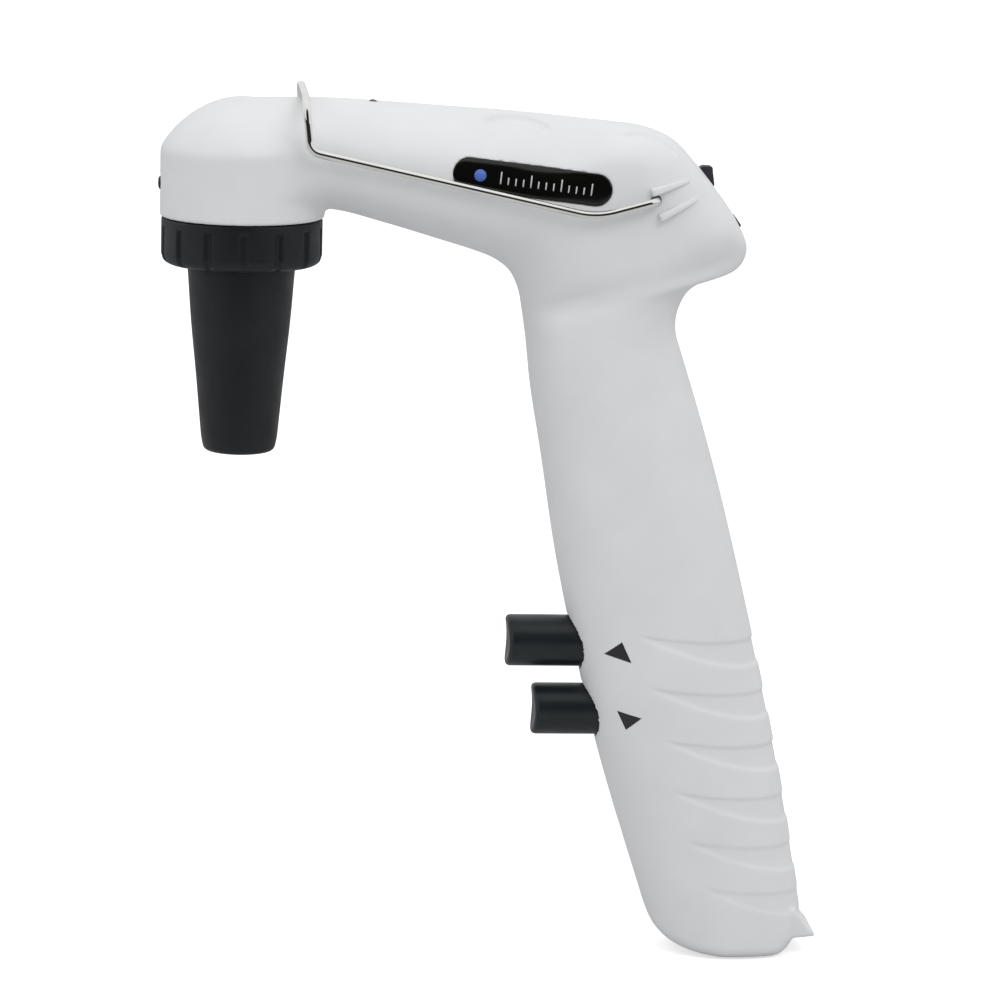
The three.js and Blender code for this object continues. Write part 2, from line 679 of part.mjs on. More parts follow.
// The wire leaves its hole, drops to a bend, rises to the nose and crosses over the roof.
function wireStand() {
  const side = (sign) => [
    at(PIVOT.x, sign * 13.2, PIVOT.z),
    at(PIVOT.x, sign * 19.4, PIVOT.z),
    at(87.2, sign * 20.3, 62.9),
    at(15.9, sign * WIRE_SPREAD, 78.3),
    at(WIRE_REACH.x, sign * WIRE_SPREAD, WIRE_REACH.z),
  ];
  const corners = [...side(-1), ...side(1).reverse()];
  return run(corners, WIRE_RADIUS, { bend: 3.5, sides: 8 });
}

function casingScrew({ x, z }) {
  const shank = alongY(SCREW.shank, SCREW.tip, SCREW.seat + 0.2, x, z, 8);
  const head = alongY(SCREW.head, SCREW.seat, SCREW.seat + 1.8, x, z, 12);
  const drive = box(x - 1.5, x + 1.5, SCREW.seat + 1, 20, z - 0.35, z + 0.35);
  const cross = box(x - 0.35, x + 0.35, SCREW.seat + 1, 20, z - 1.5, z + 1.5);
  return cut(join(shank, head), drive, cross);
}

// ---------------------------------------------------------------- tubes and cables

// A soft tube that ends short of the barb it would be pushed over.
function airTube(corners) {
  return run(corners, TUBE_RADIUS, { bend: 8, sides: 7 });
}

const noseTube = () => airTube([
  at(0, 0, 70), at(0, 0, 79.5), at(16, -6, 79.5), at(36, -12.7, 71), at(82, -12.7, 71),
  at(95, -10.2, 50), at(93, -10.2, 20), at(103, -10.2, -25), at(109, -5.5, -33.4),
]);

const pressureTube = () => airTube([
  at(87.4, -4.5, 57), at(94, -4.5, 57), at(99, -6, 46), at(99, -10.2, 30), at(100, -10.2, 12),
  at(111, -10.2, -27), at(117, -5.5, -33.4),
]);

const vacuumTube = () => airTube([
  at(87.4, 4.5, 57), at(94, 4.5, 57), at(99, 6, 46), at(98, 10.2, 30), at(99, 10.2, 8),
  at(107, 10.2, -22), at(112, 9.6, -29), at(117, 1, -33.4),
]);

const motorCable = () => run([
  at(41, 6, 66), at(38, 9, 66), at(44, 13, 73), at(84, 13, 73), at(98, 9, 67), at(106, 6, 62.6),
], CABLE_RADIUS, { bend: 5, sides: 5 });

const batteryCable = () => run([
  at(100.5, 4.5, 30.6), at(103.2, 5, 38), at(105.8, 6, 50), at(108.4, 6, 56.4),
], CABLE_RADIUS, { bend: 5, sides: 5 });

// ---------------------------------------------------------------- materials and assembly

const finish = (color, roughness, metalness = 0) => ({ color, roughness, metalness });
const FINISH = {
  shell: finish(0xd8d9db, 0.45),
  dark: finish(0x1e2127, 0.55),
  button: finish(0x232c30, 0.4),
  badge: finish(0x0b0b08, 0.15),
  steel: finish(0xc9cbcd, 0.2, 1),
  silicone: finish(0xd9d6cb, 0.6),
  membrane: finish(0xf0f0ec, 0.7),
  plastic: finish(0xb9bcbf, 0.5),
  board: finish(0x1f5a36, 0.45),
  cell: finish(0x2f5f8f, 0.35),
  brass: finish(0xb59a55, 0.3, 1),
  rubber: finish(0x17181a, 0.7),
  led: finish(0x2b2f30, 0.2),
  cable: finish(0x8c2424, 0.5),
};

const controller = new THREE.Group();
controller.position.set(-(SOLE.front + SOLE.back) / 2, 0, -HANDLE_BOTTOM);

function add(name, shape, style, position = [0, 0, 0]) {
  const geometry = shape.isBufferGeometry ? shape : geometryFrom(shape);
  const mesh = new THREE.Mesh(geometry, new THREE.MeshStandardMaterial(style));
  mesh.name = name;
  mesh.position.set(...position);
  controller.add(mesh);
}

function addCasing() {
  const { left, right } = makeCasing();
  add('casing_left', left, FINISH.shell);
  add('casing_right', right, FINISH.shell);
  add('badge_left', badge(-1), FINISH.badge);
  add('badge_right', badge(1), FINISH.badge);
  add('front_vent_plug', ventPlug(), FINISH.rubber);
  SCREWS.forEach((place, index) => add(`casing_screw_${index + 1}`, casingScrew(place), FINISH.steel));
}

function addNose() {
  add('nozzle_seat', nozzleSeat(), FINISH.plastic);
  add('ring_nut', ringNut(), FINISH.dark);
  add('nose_cone', noseCone(), FINISH.dark);
  add('pipette_holder', pipetteHolder(), FINISH.silicone);
  add('membrane_filter', membraneFilter(), FINISH.membrane);
  add('filter_gasket', filterGasket(), FINISH.silicone);
}

function addTrigger(prefix, place) {
  const height = [0, 0, place.z];
  add(`${prefix}_button`, button(place), FINISH.button, height);
  add(`${prefix}_valve_stem`, valveStem(place), FINISH.brass, height);
  add(`${prefix}_spring`, returnSpring(place), FINISH.steel);
  add(`${prefix}_valve_ring`, valveRing(place), FINISH.rubber);
  add(`${prefix}_microswitch`, microswitch(place), FINISH.rubber);
}

function addPump() {
  add('motor_can', motorCan(), FINISH.steel);
  add('motor_shaft', motorShaft(), FINISH.steel);
  add('connecting_rod', connectingRod(), FINISH.plastic);
  add('pump_housing', pumpHousing(), FINISH.plastic);
  add('pump_diaphragm', diaphragm(), FINISH.rubber);
  add('pump_head', pumpHead(), FINISH.plastic);
  add('valve_block', valveBlock(), FINISH.plastic);
  add('nose_tube', noseTube(), FINISH.silicone);
  add('pressure_tube', pressureTube(), FINISH.silicone);
  add('vacuum_tube', vacuumTube(), FINISH.silicone);
}

function addElectrics() {
  add('battery_cell_front', batteryCell(-CELL.pitch / 2), FINISH.cell);
  add('battery_cell_rear', batteryCell(CELL.pitch / 2), FINISH.cell);
  add('battery_cradle', batteryCradle(), FINISH.rubber);
  add('circuit_board', circuitBoard(), FINISH.board);
  add('speed_switch_body', switchBody(), FINISH.steel);
  add('speed_switch_knob', switchKnob(), FINISH.rubber);
  add('charge_socket', chargeSocket(), FINISH.rubber);
  add('status_led', statusLed(), FINISH.led);
  add('motor_cable', motorCable(), FINISH.cable);
  add('battery_cable', batteryCable(), FINISH.cable);
}

addCasing();
addNose();
addTrigger('aspirate', UPPER_BUTTON);
addTrigger('dispense', LOWER_BUTTON);
addPump();
addElectrics();
add('wire_stand', wireStand(), FINISH.steel);

export default controller;
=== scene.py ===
"""A motorized pipette controller: white moulded casing, dark nose and buttons, a bent wire stand.

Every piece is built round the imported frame. Lengths inside the script are millimetres, measured
from the centre of the nose cone's mouth, with +Z up and +X towards the back of the head. They turn
into metres in the frame when a mesh is made.
"""

import json
import math
from functools import reduce

import bmesh
import bpy
import numpy as np
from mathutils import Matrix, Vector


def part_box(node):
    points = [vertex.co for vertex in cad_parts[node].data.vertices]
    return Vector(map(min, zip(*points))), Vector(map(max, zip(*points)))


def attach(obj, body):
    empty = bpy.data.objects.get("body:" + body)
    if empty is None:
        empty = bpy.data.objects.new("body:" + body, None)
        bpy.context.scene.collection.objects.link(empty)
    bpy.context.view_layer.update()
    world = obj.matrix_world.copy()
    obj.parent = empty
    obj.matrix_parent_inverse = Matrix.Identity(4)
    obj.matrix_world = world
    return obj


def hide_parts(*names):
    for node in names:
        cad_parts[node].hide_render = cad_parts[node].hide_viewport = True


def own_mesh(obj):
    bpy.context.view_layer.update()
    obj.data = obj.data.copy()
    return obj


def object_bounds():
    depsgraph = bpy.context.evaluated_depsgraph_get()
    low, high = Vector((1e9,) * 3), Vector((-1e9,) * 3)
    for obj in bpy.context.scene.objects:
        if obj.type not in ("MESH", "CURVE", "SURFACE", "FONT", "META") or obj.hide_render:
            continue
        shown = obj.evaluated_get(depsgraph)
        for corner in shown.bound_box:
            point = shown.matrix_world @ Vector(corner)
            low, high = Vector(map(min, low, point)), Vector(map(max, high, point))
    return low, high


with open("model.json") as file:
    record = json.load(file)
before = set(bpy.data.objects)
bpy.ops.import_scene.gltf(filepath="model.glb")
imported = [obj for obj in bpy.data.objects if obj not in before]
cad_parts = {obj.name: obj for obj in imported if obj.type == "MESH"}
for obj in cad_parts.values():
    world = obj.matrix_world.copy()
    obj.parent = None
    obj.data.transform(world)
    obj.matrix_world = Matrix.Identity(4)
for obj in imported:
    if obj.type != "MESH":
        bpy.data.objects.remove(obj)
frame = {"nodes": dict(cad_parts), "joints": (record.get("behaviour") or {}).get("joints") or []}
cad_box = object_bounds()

import openvdb
from mathutils import Matrix, Vector
from mathutils.bvhtree import BVHTree

# ---------- frame and units

MM = 0.001
CONE_LOW, CONE_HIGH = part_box("nose_cone")
MOUTH = np.array([(CONE_LOW.x + CONE_HIGH.x) / 2, 0.0, CONE_LOW.z])


def from_frame(point):
    """A point of the frame, as millimetres from the cone's mouth."""
    return (np.array(point) - MOUTH) / MM


def corners(node):
    """Lowest and highest corner of a CAD node, in millimetres from the cone's mouth."""
    low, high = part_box(node)
    return from_frame(low), from_frame(high)


def joint(name):
    return next(entry for entry in frame["joints"] if entry["name"] == name)


# ---------- driving dimensions

WALL = 2.0
SEAM = 0.14  # width of the parting line between the casing halves
GAP = 0.3  # clearance round a piece that sits in an opening

HEAD_BOTTOM, HEAD_TOP = 59.6, corners("casing_left")[1][2]
HEAD_RADIUS = 20.6
DOME_START, DOME_SHARPNESS = 76.4, 1.25
SOLE = corners("casing_left")[0][2]
FOOT_HALF_WIDTH = 9.5

RING_LOW, RING_HIGH = corners("ring_nut")
RING_RADIUS = 20.2
RING_RIBS = 14
SPIGOT_RADIUS = 17.0

PIVOT = from_frame(joint("stand_swing")["pos_m"])
WIRE_RADIUS = 1.0
BADGE = {"x": 71.3, "z": 71.3, "length": 40.0, "height": 8.1, "tilt": 0.115}
SLOPE = {"x": 118.5, "z": 69.0, "angle": 0.962}  # the rear slope: a point on it and its pitch
SWITCH_DOWN, SOCKET_DOWN = -3.1, 10.6  # places of the switch and the socket down that slope
SWITCH_HALF_SLOT, SLOT_HALF_WIDTH = 5.3, 2.2
SOCKET_RADIUS = 1.9

SCREWS = [from_frame(sum(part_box(f"casing_screw_{i}"), Vector()) / 2) for i in range(1, 7)]
SCREW_HEAD, SCREW_SHANK, BOSS_RADIUS = 2.6, 1.2, 3.9
SCREW_SEAT = 8.0

LED_LOW, LED_HIGH = corners("status_led")
LED_X = (LED_LOW[0] + LED_HIGH[0]) / 2
VENT_LOW, VENT_HIGH = corners("front_vent_plug")
VENT_Z = (VENT_LOW[2] + VENT_HIGH[2]) / 2
BUTTONS = ("aspirate", "dispense")
BUTTON_RADIUS = 6.6
SIDES = (("left", -1), ("right", 1))  # each side and the sign of its Y


# ---------- numbers and curves

def smooth_max(a, b, blend):
    """The larger of two fields, with the corner between them rounded."""
    overlap = np.maximum(blend - np.abs(a - b), 0) / blend
    return np.maximum(a, b) + overlap * overlap * blend / 4


def smooth_min(a, b, blend):
    return -smooth_max(-a, -b, blend)


def step(value, width):
    """0 below zero, 1 above width, and smooth in between."""
    share = np.clip(value / width, 0, 1)
    return share * share * (3 - 2 * share)


def circle(count):
    """Evenly spaced angles round a circle."""
    return np.arange(count) * 2 * math.pi / count


def fillet(points, radius, closed=False, steps=6):
    """Rounds the corners of a run of points. The radius is one number, or one for each point."""
    points = [np.array(p, float) for p in points]
    count = len(points)
    radii = radius if isinstance(radius, (list, tuple)) else [radius] * count
    path = []
    for index, point in enumerate(points):
        if (not closed and index in (0, count - 1)) or radii[index] <= 0:
            path.append(point)
            continue
        before = points[index - 1] - point
        after = points[(index + 1) % count] - point
        reach = min(radii[index], 0.48 * np.linalg.norm(before), 0.48 * np.linalg.norm(after))
        start = point + before / np.linalg.norm(before) * reach
        end = point + after / np.linalg.norm(after) * reach
        for t in np.linspace(0, 1, steps + 1):
            path.append((1 - t) ** 2 * start + 2 * t * (1 - t) * point + t * t * end)
    return path


def bezier(p0, p1, p2, p3, steps=12):
    """Points after p0 along a cubic curve."""
    t = np.linspace(0, 1, steps + 1)[1:, None]
    ends = (1 - t) ** 3 * np.array(p0) + t ** 3 * np.array(p3)
    return list(ends + 3 * t * (1 - t) ** 2 * np.array(p1) + 3 * t * t * (1 - t) * np.array(p2))


def hermite(knots, values, at):
    """A smooth curve through values at unevenly spaced knots."""
    values = np.asarray(values, float)
    slopes = np.gradient(values, knots, axis=0)
    index = np.clip(np.searchsorted(knots, at) - 1, 0, len(knots) - 2)
    span = (knots[index + 1] - knots[index])[:, None]
    t = (at - knots[index])[:, None] / span
    h00, h10 = (1 + 2 * t) * (1 - t) ** 2, t * (1 - t) ** 2
    h01, h11 = t * t * (3 - 2 * t), t * t * (t - 1)
    return (h00 * values[index] + h10 * span * slopes[index]
            + h01 * values[index + 1] + h11 * span * slopes[index + 1])


def outline_distance(points, x, z):
    """Signed distance to a closed outline in the side view, negative inside."""
    best = np.full(np.broadcast(x, z).shape, 1e9)
    inside = np.zeros(best.shape, bool)
    ends = list(points[1:]) + [points[0]]
    for (ax, az), (bx, bz) in zip(points, ends):
        ex, ez = bx - ax, bz - az
        t = np.clip(((x - ax) * ex + (z - az) * ez) / (ex * ex + ez * ez + 1e-12), 0, 1)
        best = np.minimum(best, np.hypot(x - ax - ex * t, z - az - ez * t))
        if abs(ez) > 1e-12:
            inside ^= ((az > z) != (bz > z)) & (x < ex * (z - az) / ez + ax)
    return np.where(inside, -best, best)


# ---------- meshes

def mesh_piece(name, points, faces, finish, nodes=(), slot=None, body="casing"):
    """A closed mesh from millimetre points, riding on a body and standing for its CAD nodes."""
    mesh = bpy.data.meshes.new(name)
    mesh.from_pydata((np.asarray(points, float) * MM + MOUTH).tolist(), [], faces)
    mesh.validate()
    work = bmesh.new()
    work.from_mesh(mesh)
    bmesh.ops.remove_doubles(work, verts=work.verts, dist=1e-7)
    bmesh.ops.recalc_face_normals(work, faces=work.faces)
    work.to_mesh(mesh)
    work.free()
    mesh.shade_smooth()
    mesh.materials.append(MATERIALS[finish])
    piece = bpy.data.objects.new(name, mesh)
    bpy.context.scene.collection.objects.link(piece)
    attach(piece, body)
    if nodes:
        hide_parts(*nodes)
    return piece


def grid_faces(rows, columns, close_rows=False, close_columns=True):
    """Quads over a grid of points that are stored row by row."""
    i = np.arange(rows if close_rows else rows - 1)[:, None]
    j = np.arange(columns if close_columns else columns - 1)[None, :]
    i2, j2 = (i + 1) % rows, (j + 1) % columns
    quads = [i * columns + j, i * columns + j2, i2 * columns + j2, i2 * columns + j]
    return np.stack(quads, -1).reshape(-1, 4).tolist()


def turned(profile, segments, axis, carve=None):
    """A profile of (radius, height) turned about Z or X. carve gives the depth of a relief."""
    profile = np.array(profile)
    angle = circle(segments)
    radius, height = profile[:, :1], profile[:, 1:]
    if carve:
        radius = radius - carve(radius, height, angle[None, :])
    across, other = radius * np.cos(angle), radius * np.sin(angle)
    height = height + 0 * angle
    order = (across, other, height) if axis == "Z" else (height, across, other)
    return np.stack(order, -1).reshape(-1, 3)


def lathe(name, profile, finish, nodes=(), slot=None, body="casing", segments=96, axis="Z",
          centre=(0, 0, 0), closed=True, carve=None, bend=None):
    """A solid of revolution. A profile that isn't closed starts and ends on the axis."""
    points = turned(profile, segments, axis, carve)
    if bend:
        points = bend(points)
    points = points + np.array(centre, float)
    faces = grid_faces(len(profile), segments, close_rows=closed)
    mesh_piece(name, points, faces, finish, nodes, slot, body)


def swept(path, radius, sides):
    """A round bar along a path, as points and faces with flat ends."""
    path = np.array(path)
    ahead = np.gradient(path, axis=0)
    ahead /= np.linalg.norm(ahead, axis=1)[:, None]
    across = np.cross(ahead[0], (0.31, 0.17, 0.93))
    angle = circle(sides)
    rings = []
    for point, along in zip(path, ahead):
        across = across - along * (across @ along)
        across /= np.linalg.norm(across)
        other = np.cross(along, across)
        rings.append(point + radius * (np.outer(np.cos(angle), across)
                                       + np.outer(np.sin(angle), other)))
    faces = grid_faces(len(path), sides)
    last = (len(path) - 1) * sides
    faces.append(list(range(sides)))
    faces.append(list(range(last, last + sides)))
    return np.concatenate(rings), faces


def prism(outline, y0, y1):
    """An outline in x and z, extruded from y0 to y1, as points and faces."""
    count = len(outline)
    points = [(x, y, z) for y in (y0, y1) for x, z in outline]
    faces = grid_faces(2, count)
    faces.append(list(range(count)))
    faces.append(list(range(count, 2 * count)))
    return np.array(points, float), faces


def on_slope(points):
    """Maps points drawn as (down the slope, across, out of it) on to the rear slope."""
    points = np.asarray(points, float)
    down = np.array([math.cos(SLOPE["angle"]), 0, -math.sin(SLOPE["angle"])])
    out = np.array([math.sin(SLOPE["angle"]), 0, math.cos(SLOPE["angle"])])
    start = np.array([SLOPE["x"], 0, SLOPE["z"]])
    return start + points[:, :1] * down + points[:, 1:2] * (0, 1, 0) + points[:, 2:] * out


# ---------- the casing's form

# How square a cross-section is: a superellipse's power and root below its widest line, then
# above it. That line lies a fixed share of the way up.
ARM = (2.2, 2.0, 2.6, 1.35)
REAR = (2.2, 2.1, 5.0, 2.5)
GRIP = (2.0, 2.2, 2.3, 2.2)
WIDEST = 0.45

# Cross-sections along the arm, round the throat and down the handle: a point on the underside
# or front edge, one on the roof or back edge, the half width and the squareness.
STATIONS = [
    ((-2, 62.5), (-2, 89.5), 17.6, ARM),
    ((10, 62.0), (10, 89.8), 18.2, ARM),
    ((22.5, 61.9), (22.5, 89.8), 18.8, ARM),
    ((36, 58.6), (37, 89.1), 18.8, ARM),
    ((48.7, 54.9), (50.3, 88.3), 18.6, ARM),
    ((58.6, 51.9), (68, 87.3), 18.3, ARM),
    ((63.5, 49.9), (86, 85.7), 17.9, ARM),
    ((66.8, 47.5), (101, 83.6), 17.6, REAR),
    ((68.3, 45.4), (107.9, 80.7), 17.4, REAR),
    ((69.2, 43.4), (112.5, 76.2), 17.2, REAR),
    ((69.9, 41.5), (118.5, 69.0), 16.9, REAR),
    ((70.3, 39.5), (124.5, 60.4), 16.3, REAR),
    ((70.6, 37.6), (127.4, 53.2), 15.1, GRIP),
    ((70.9, 36.0), (125.2, 48.4), 14.9, GRIP),
    ((71.2, 34.3), (118.5, 46.3), 15.0, GRIP),
    ((71.5, 32.3), (113, 42.9), 15.3, GRIP),
    ((71.9, 29.8), (110.2, 37.5), 15.5, GRIP),
    ((72.5, 24.5), (109.9, 32.0), 15.6, GRIP),
    ((73.3, 18.0), (111.2, 27.7), 15.7, GRIP),
    ((76.6, -0.5), (117.2, 9.2), 15.9, GRIP),
    ((80.8, -25.2), (123.6, -12.8), 16.0, GRIP),
    ((87.3, -54.0), (131.8, -45.0), 15.9, GRIP),
    ((92.7, -75.4), (136.5, -64.8), 15.7, GRIP),
    ((99.5, -97.6), (141.3, -87.0), 15.4, GRIP),
    ((105.5, -116.7), (145, -107), 15.1, GRIP),
    ((116, -152), (151.6, -143), 14.6, GRIP),
]
SKIN_RINGS, SKIN_SIDES = 280, 144


def body_skin():
    """The head and handle as one closed skin, smooth through every cross-section."""
    table = np.array([(*near, *far, half, *form) for near, far, half, form in STATIONS])
    moves = np.linalg.norm(np.diff(table[:, :4], axis=0), axis=1)
    knots = np.concatenate([[0], np.cumsum(np.sqrt(moves))])
    rows = hermite(knots, table, np.linspace(0, knots[-1], SKIN_RINGS))
    angle = circle(SKIN_SIDES)
    height, across = np.cos(angle), np.sin(angle)
    above = height < 0
    share = np.where(above, WIDEST - (1 - WIDEST) * height, WIDEST * (1 - height))
    near, far, half = rows[:, None, 0:2], rows[:, None, 2:4], rows[:, None, 4]
    place = near + (far - near) * share[:, None]
    power = np.where(above, rows[:, None, 7], rows[:, None, 5])
    root = np.where(above, rows[:, None, 8], rows[:, None, 6])
    full = np.maximum(0, 1 - np.abs(height) ** power) ** (1 / root)
    width = half * full * np.where(across < 0, -1, 1)
    points = np.stack([place[..., 0], width, place[..., 1]], -1).reshape(-1, 3)
    return points, np.array(grid_faces(SKIN_RINGS, SKIN_SIDES))


def nose_skin():
    """The domed cylinder over the nose. Its dome stays a little under the roof's top."""
    share = np.sin(np.linspace(0, math.pi / 2, 40))[::-1]
    rise = HEAD_TOP - 0.15 - DOME_START
    dome = DOME_START + rise * (1 - share ** 2) ** (1 / DOME_SHARPNESS)
    profile = [(0, HEAD_BOTTOM - 8), (HEAD_RADIUS, HEAD_BOTTOM - 8)]
    profile += list(zip(HEAD_RADIUS * share, dome))
    return turned(profile, SKIN_SIDES, "Z"), np.array(grid_faces(len(profile), SKIN_SIDES))


# The left half of the casing is a field of distances on a grid of voxels.
VOXEL = 0.4
FIELD_LOW = np.array([-24.0, -24.4, SOLE - 3.2])
FIELD_SHAPE = (447, 66, 571)  # voxels along each axis, a little past the middle plane in Y
BAND = 12  # voxels each side of a skin in which distance is known
X, Y, Z = (FIELD_LOW[axis] + VOXEL * np.arange(FIELD_SHAPE[axis]) for axis in range(3))
X, Y, Z = X[:, None, None], Y[None, :, None], Z[None, None, :]
SIDE_X, SIDE_Z = X[:, 0, :], Z[0]


def skin_distance(points, quads, ends):
    """Signed distance in millimetres to a skin, on the casing's grid of voxels."""
    index_points = ((points - FIELD_LOW) / VOXEL).astype(np.float32)
    grid = openvdb.FloatGrid.createLevelSetFromPolygons(
        index_points, triangles=ends, quads=quads.astype(np.uint32), halfWidth=BAND)
    field = np.zeros(FIELD_SHAPE, np.float32)
    grid.copyToArray(field)
    return field * VOXEL


def end_fans():
    """Triangles that close the first and last ring of the body's skin."""
    fans = []
    for start in (0, (SKIN_RINGS - 1) * SKIN_SIDES):
        fans += [(start, start + side, start + side + 1) for side in range(1, SKIN_SIDES - 1)]
    return np.array(fans, np.uint32)


def soften(field, passes):
    """Blurs a field a little, which takes kinks out of the skin."""
    for _ in range(passes):
        for axis in range(3):
            middle = [slice(None)] * 3
            before, after = list(middle), list(middle)
            middle[axis], before[axis], after[axis] = slice(1, -1), slice(0, -2), slice(2, None)
            blurred = field.copy()
            blurred[tuple(middle)] = (field[tuple(before)] + field[tuple(after)]) / 4
            blurred[tuple(middle)] += field[tuple(middle)] / 2
            field = blurred
    return field


NOSE_FILLET = 5.0


def joined_nose(body, nose):
    """Joins the arm and the nose with a hollow fillet where their skins meet at an angle.

    The fillet fades out at the flat underside and again towards the roof.
    """
    reach = slice(0, int((48 - FIELD_LOW[0]) / VOXEL))
    up = slice(int((50 - FIELD_LOW[2]) / VOXEL), None)
    part_a, part_b = body[reach, :, up], nose[reach, :, up]
    slopes_a, slopes_b = np.gradient(part_a), np.gradient(part_b)
    dot = sum(a * b for a, b in zip(slopes_a, slopes_b)) / VOXEL ** 2
    turn = np.clip((1 - dot) / 0.35, 0, 1)
    height = Z[:, :, up]
    ends = (0.15 + 0.85 * step(height - HEAD_BOTTOM - 1.5, 6)) * (1 - step(height - 78, 7))
    body = np.minimum(body, nose)
    body[reach, :, up] = smooth_min(part_a, part_b, 0.01 + NOSE_FILLET * turn * ends)
    return body


def handle_end():
    """The side view of all that lies above the sole, with its long rounded front corner."""
    heel = (138.5, SOLE)
    points = [(-60, 120), (-60, -60), (60, -90), (97.2, -97), (104.6, -116.7)]
    points += bezier((104.6, -116.7), (107.4, -123.6), (112, SOLE + 1.3), (125.2, SOLE))
    points += [heel] + bezier(heel, (142.0, SOLE), (144.8, SOLE + 3), (146.6, SOLE + 8))
    return points + [(160, -108), (160, 120)]


# The wing-shaped hollows of the grip: each one's front tip in the side view, and its depth.
SCALLOPS = [(98.2, -43.0, 0.42), (101.3, -56.5, 0.42), (105.6, -70.2, 0.42),
            (108.8, -83.8, 0.378), (111.8, -96.6, 0.315), (116.5, -108.9, 0.252)]
SCALLOP_LENGTH, SCALLOP_UPPER_FALL, SCALLOP_LOWER_FALL = 33, 2.9, 10.2


def scallops():
    """Depth of the hollows that sweep down and round the back of the grip."""
    depth = np.zeros((FIELD_SHAPE[0], FIELD_SHAPE[2]))
    for x, z, deepest in SCALLOPS:
        along = np.clip((SIDE_X - x) / SCALLOP_LENGTH, 0, 1)
        upper = z - SCALLOP_UPPER_FALL * (1 - (1 - along) ** 2)
        lower = z - SCALLOP_LOWER_FALL * (1 - (1 - along) ** 1.6)
        fade = deepest * np.clip(along * 7, 0, 1)
        depth += fade * step(upper - SIDE_Z, 0.7) * step(SIDE_Z - lower, 1.1)
    return depth[:, None, :]


# The crescents beside the ridge, seen from above: both ends in X, how far from the middle plane
# the outer edge lies, and how far the inner edge bows in from it.
CRESCENTS = [(59.4, 76.8, 8.4, 5.6), (93.4, 108.0, 12.0, 4.4)]
CRESCENT_DEPTH = 1.15


def roof_hollows():
    """Depth of the crescent hollows, steep at their inner edge. Below the roof it is zero."""
    share = 0
    for start, end, outer, bow in CRESCENTS:
        along = np.clip((X - start) / (end - start), 0, 1)
        inner = outer - bow * np.sqrt(4 * along * (1 - along))
        share = share + step(np.abs(Y) - inner, 0.9) * step(outer + 0.3 - np.abs(Y), 3.2)
    return CRESCENT_DEPTH * share * step(Z - 70, 6)


def badge_distance():
    """Distance to the badge's rounded-ended outline in the side view."""
    reach = (BADGE["length"] - BADGE["height"]) / 2
    cos, sin = math.cos(BADGE["tilt"]), math.sin(BADGE["tilt"])
    along = (SIDE_X - BADGE["x"]) * cos - (SIDE_Z - BADGE["z"]) * sin
    across = (SIDE_X - BADGE["x"]) * sin + (SIDE_Z - BADGE["z"]) * cos
    gap = np.hypot(np.maximum(np.abs(along) - reach, 0), across) - BADGE["height"] / 2
    return gap[:, None, :]


MOTOR_RIBS, RIB_HALF_WIDTH = (46.8, 57.8), 0.8
TUBE_PASSAGE = {"y": -10.4, "z": 71, "half_height": 6.5}  # the gap in each rib for the air tube


def supports(skin):
    """Screw bosses and motor ribs inside the shell."""
    radius = [np.hypot(SIDE_X - x, SIDE_Z - z)[:, None, :] - BOSS_RADIUS for x, _, z in SCREWS]
    inner = np.maximum(reduce(np.minimum, radius), skin + 0.5)
    motor_low, motor_high = corners("motor_can")
    centre = (motor_low + motor_high) / 2
    bore = (motor_high[2] - motor_low[2]) / 2 + GAP
    passage = np.maximum(Y - TUBE_PASSAGE["y"],
                         np.abs(Z - TUBE_PASSAGE["z"]) - TUBE_PASSAGE["half_height"])
    for x in MOTOR_RIBS:
        rib = np.maximum(np.abs(X - x) - RIB_HALF_WIDTH, bore - np.hypot(Y, Z - centre[2]))
        inner = np.minimum(inner, reduce(np.maximum, [rib, -passage, skin + 0.5]))
    return inner


LED_HOLE, VENT_HOLE = 1.4, 2.0  # radii of the holes in the roof and in the front of the head


def openings():
    """The cuts right through the shell, one field each."""
    down = np.array([math.cos(SLOPE["angle"]), -math.sin(SLOPE["angle"])])
    along = (X - SLOPE["x"]) * down[0] + (Z - SLOPE["z"]) * down[1]
    out = -(X - SLOPE["x"]) * down[1] + (Z - SLOPE["z"]) * down[0]
    cuts = [
        np.maximum(np.hypot(X, Y) - SPIGOT_RADIUS - GAP, Z - HEAD_BOTTOM - WALL - 1),
        np.maximum(np.hypot(X - LED_X, Y) - LED_HOLE, 80 - Z),
        np.maximum(np.hypot(Y, Z - VENT_Z) - VENT_HOLE, X + 15),
        np.hypot(X - PIVOT[0], Z - PIVOT[2]) - WIRE_RADIUS - GAP + 0 * Y,
        reduce(np.maximum, [np.abs(along - SWITCH_DOWN) - SWITCH_HALF_SLOT,
                           np.abs(Y) - SLOT_HALF_WIDTH, -12 - out]),
        np.maximum(np.hypot(along - SOCKET_DOWN, Y) - SOCKET_RADIUS - GAP, -14 - out),
    ]
    for name in BUTTONS:
        low, high = corners(f"{name}_button")
        barrel = np.hypot(Y, Z - (low[2] + high[2]) / 2) - BUTTON_RADIUS - GAP
        cuts.append(np.maximum(barrel, X - 99.5))
    return cuts


def shank_holes(through):
    """Holes for the screws. On the right half they open into counterbores for the heads."""
    place = [np.hypot(SIDE_X - x, SIDE_Z - z)[:, None, :] for x, _, z in SCREWS]
    distance = reduce(np.minimum, place)
    shank = distance - SCREW_SHANK - GAP
    if through:
        return np.minimum(shank, np.maximum(distance - SCREW_HEAD - GAP, SCREW_SEAT - GAP + Y))
    return np.maximum(shank, -8.5 - Y)


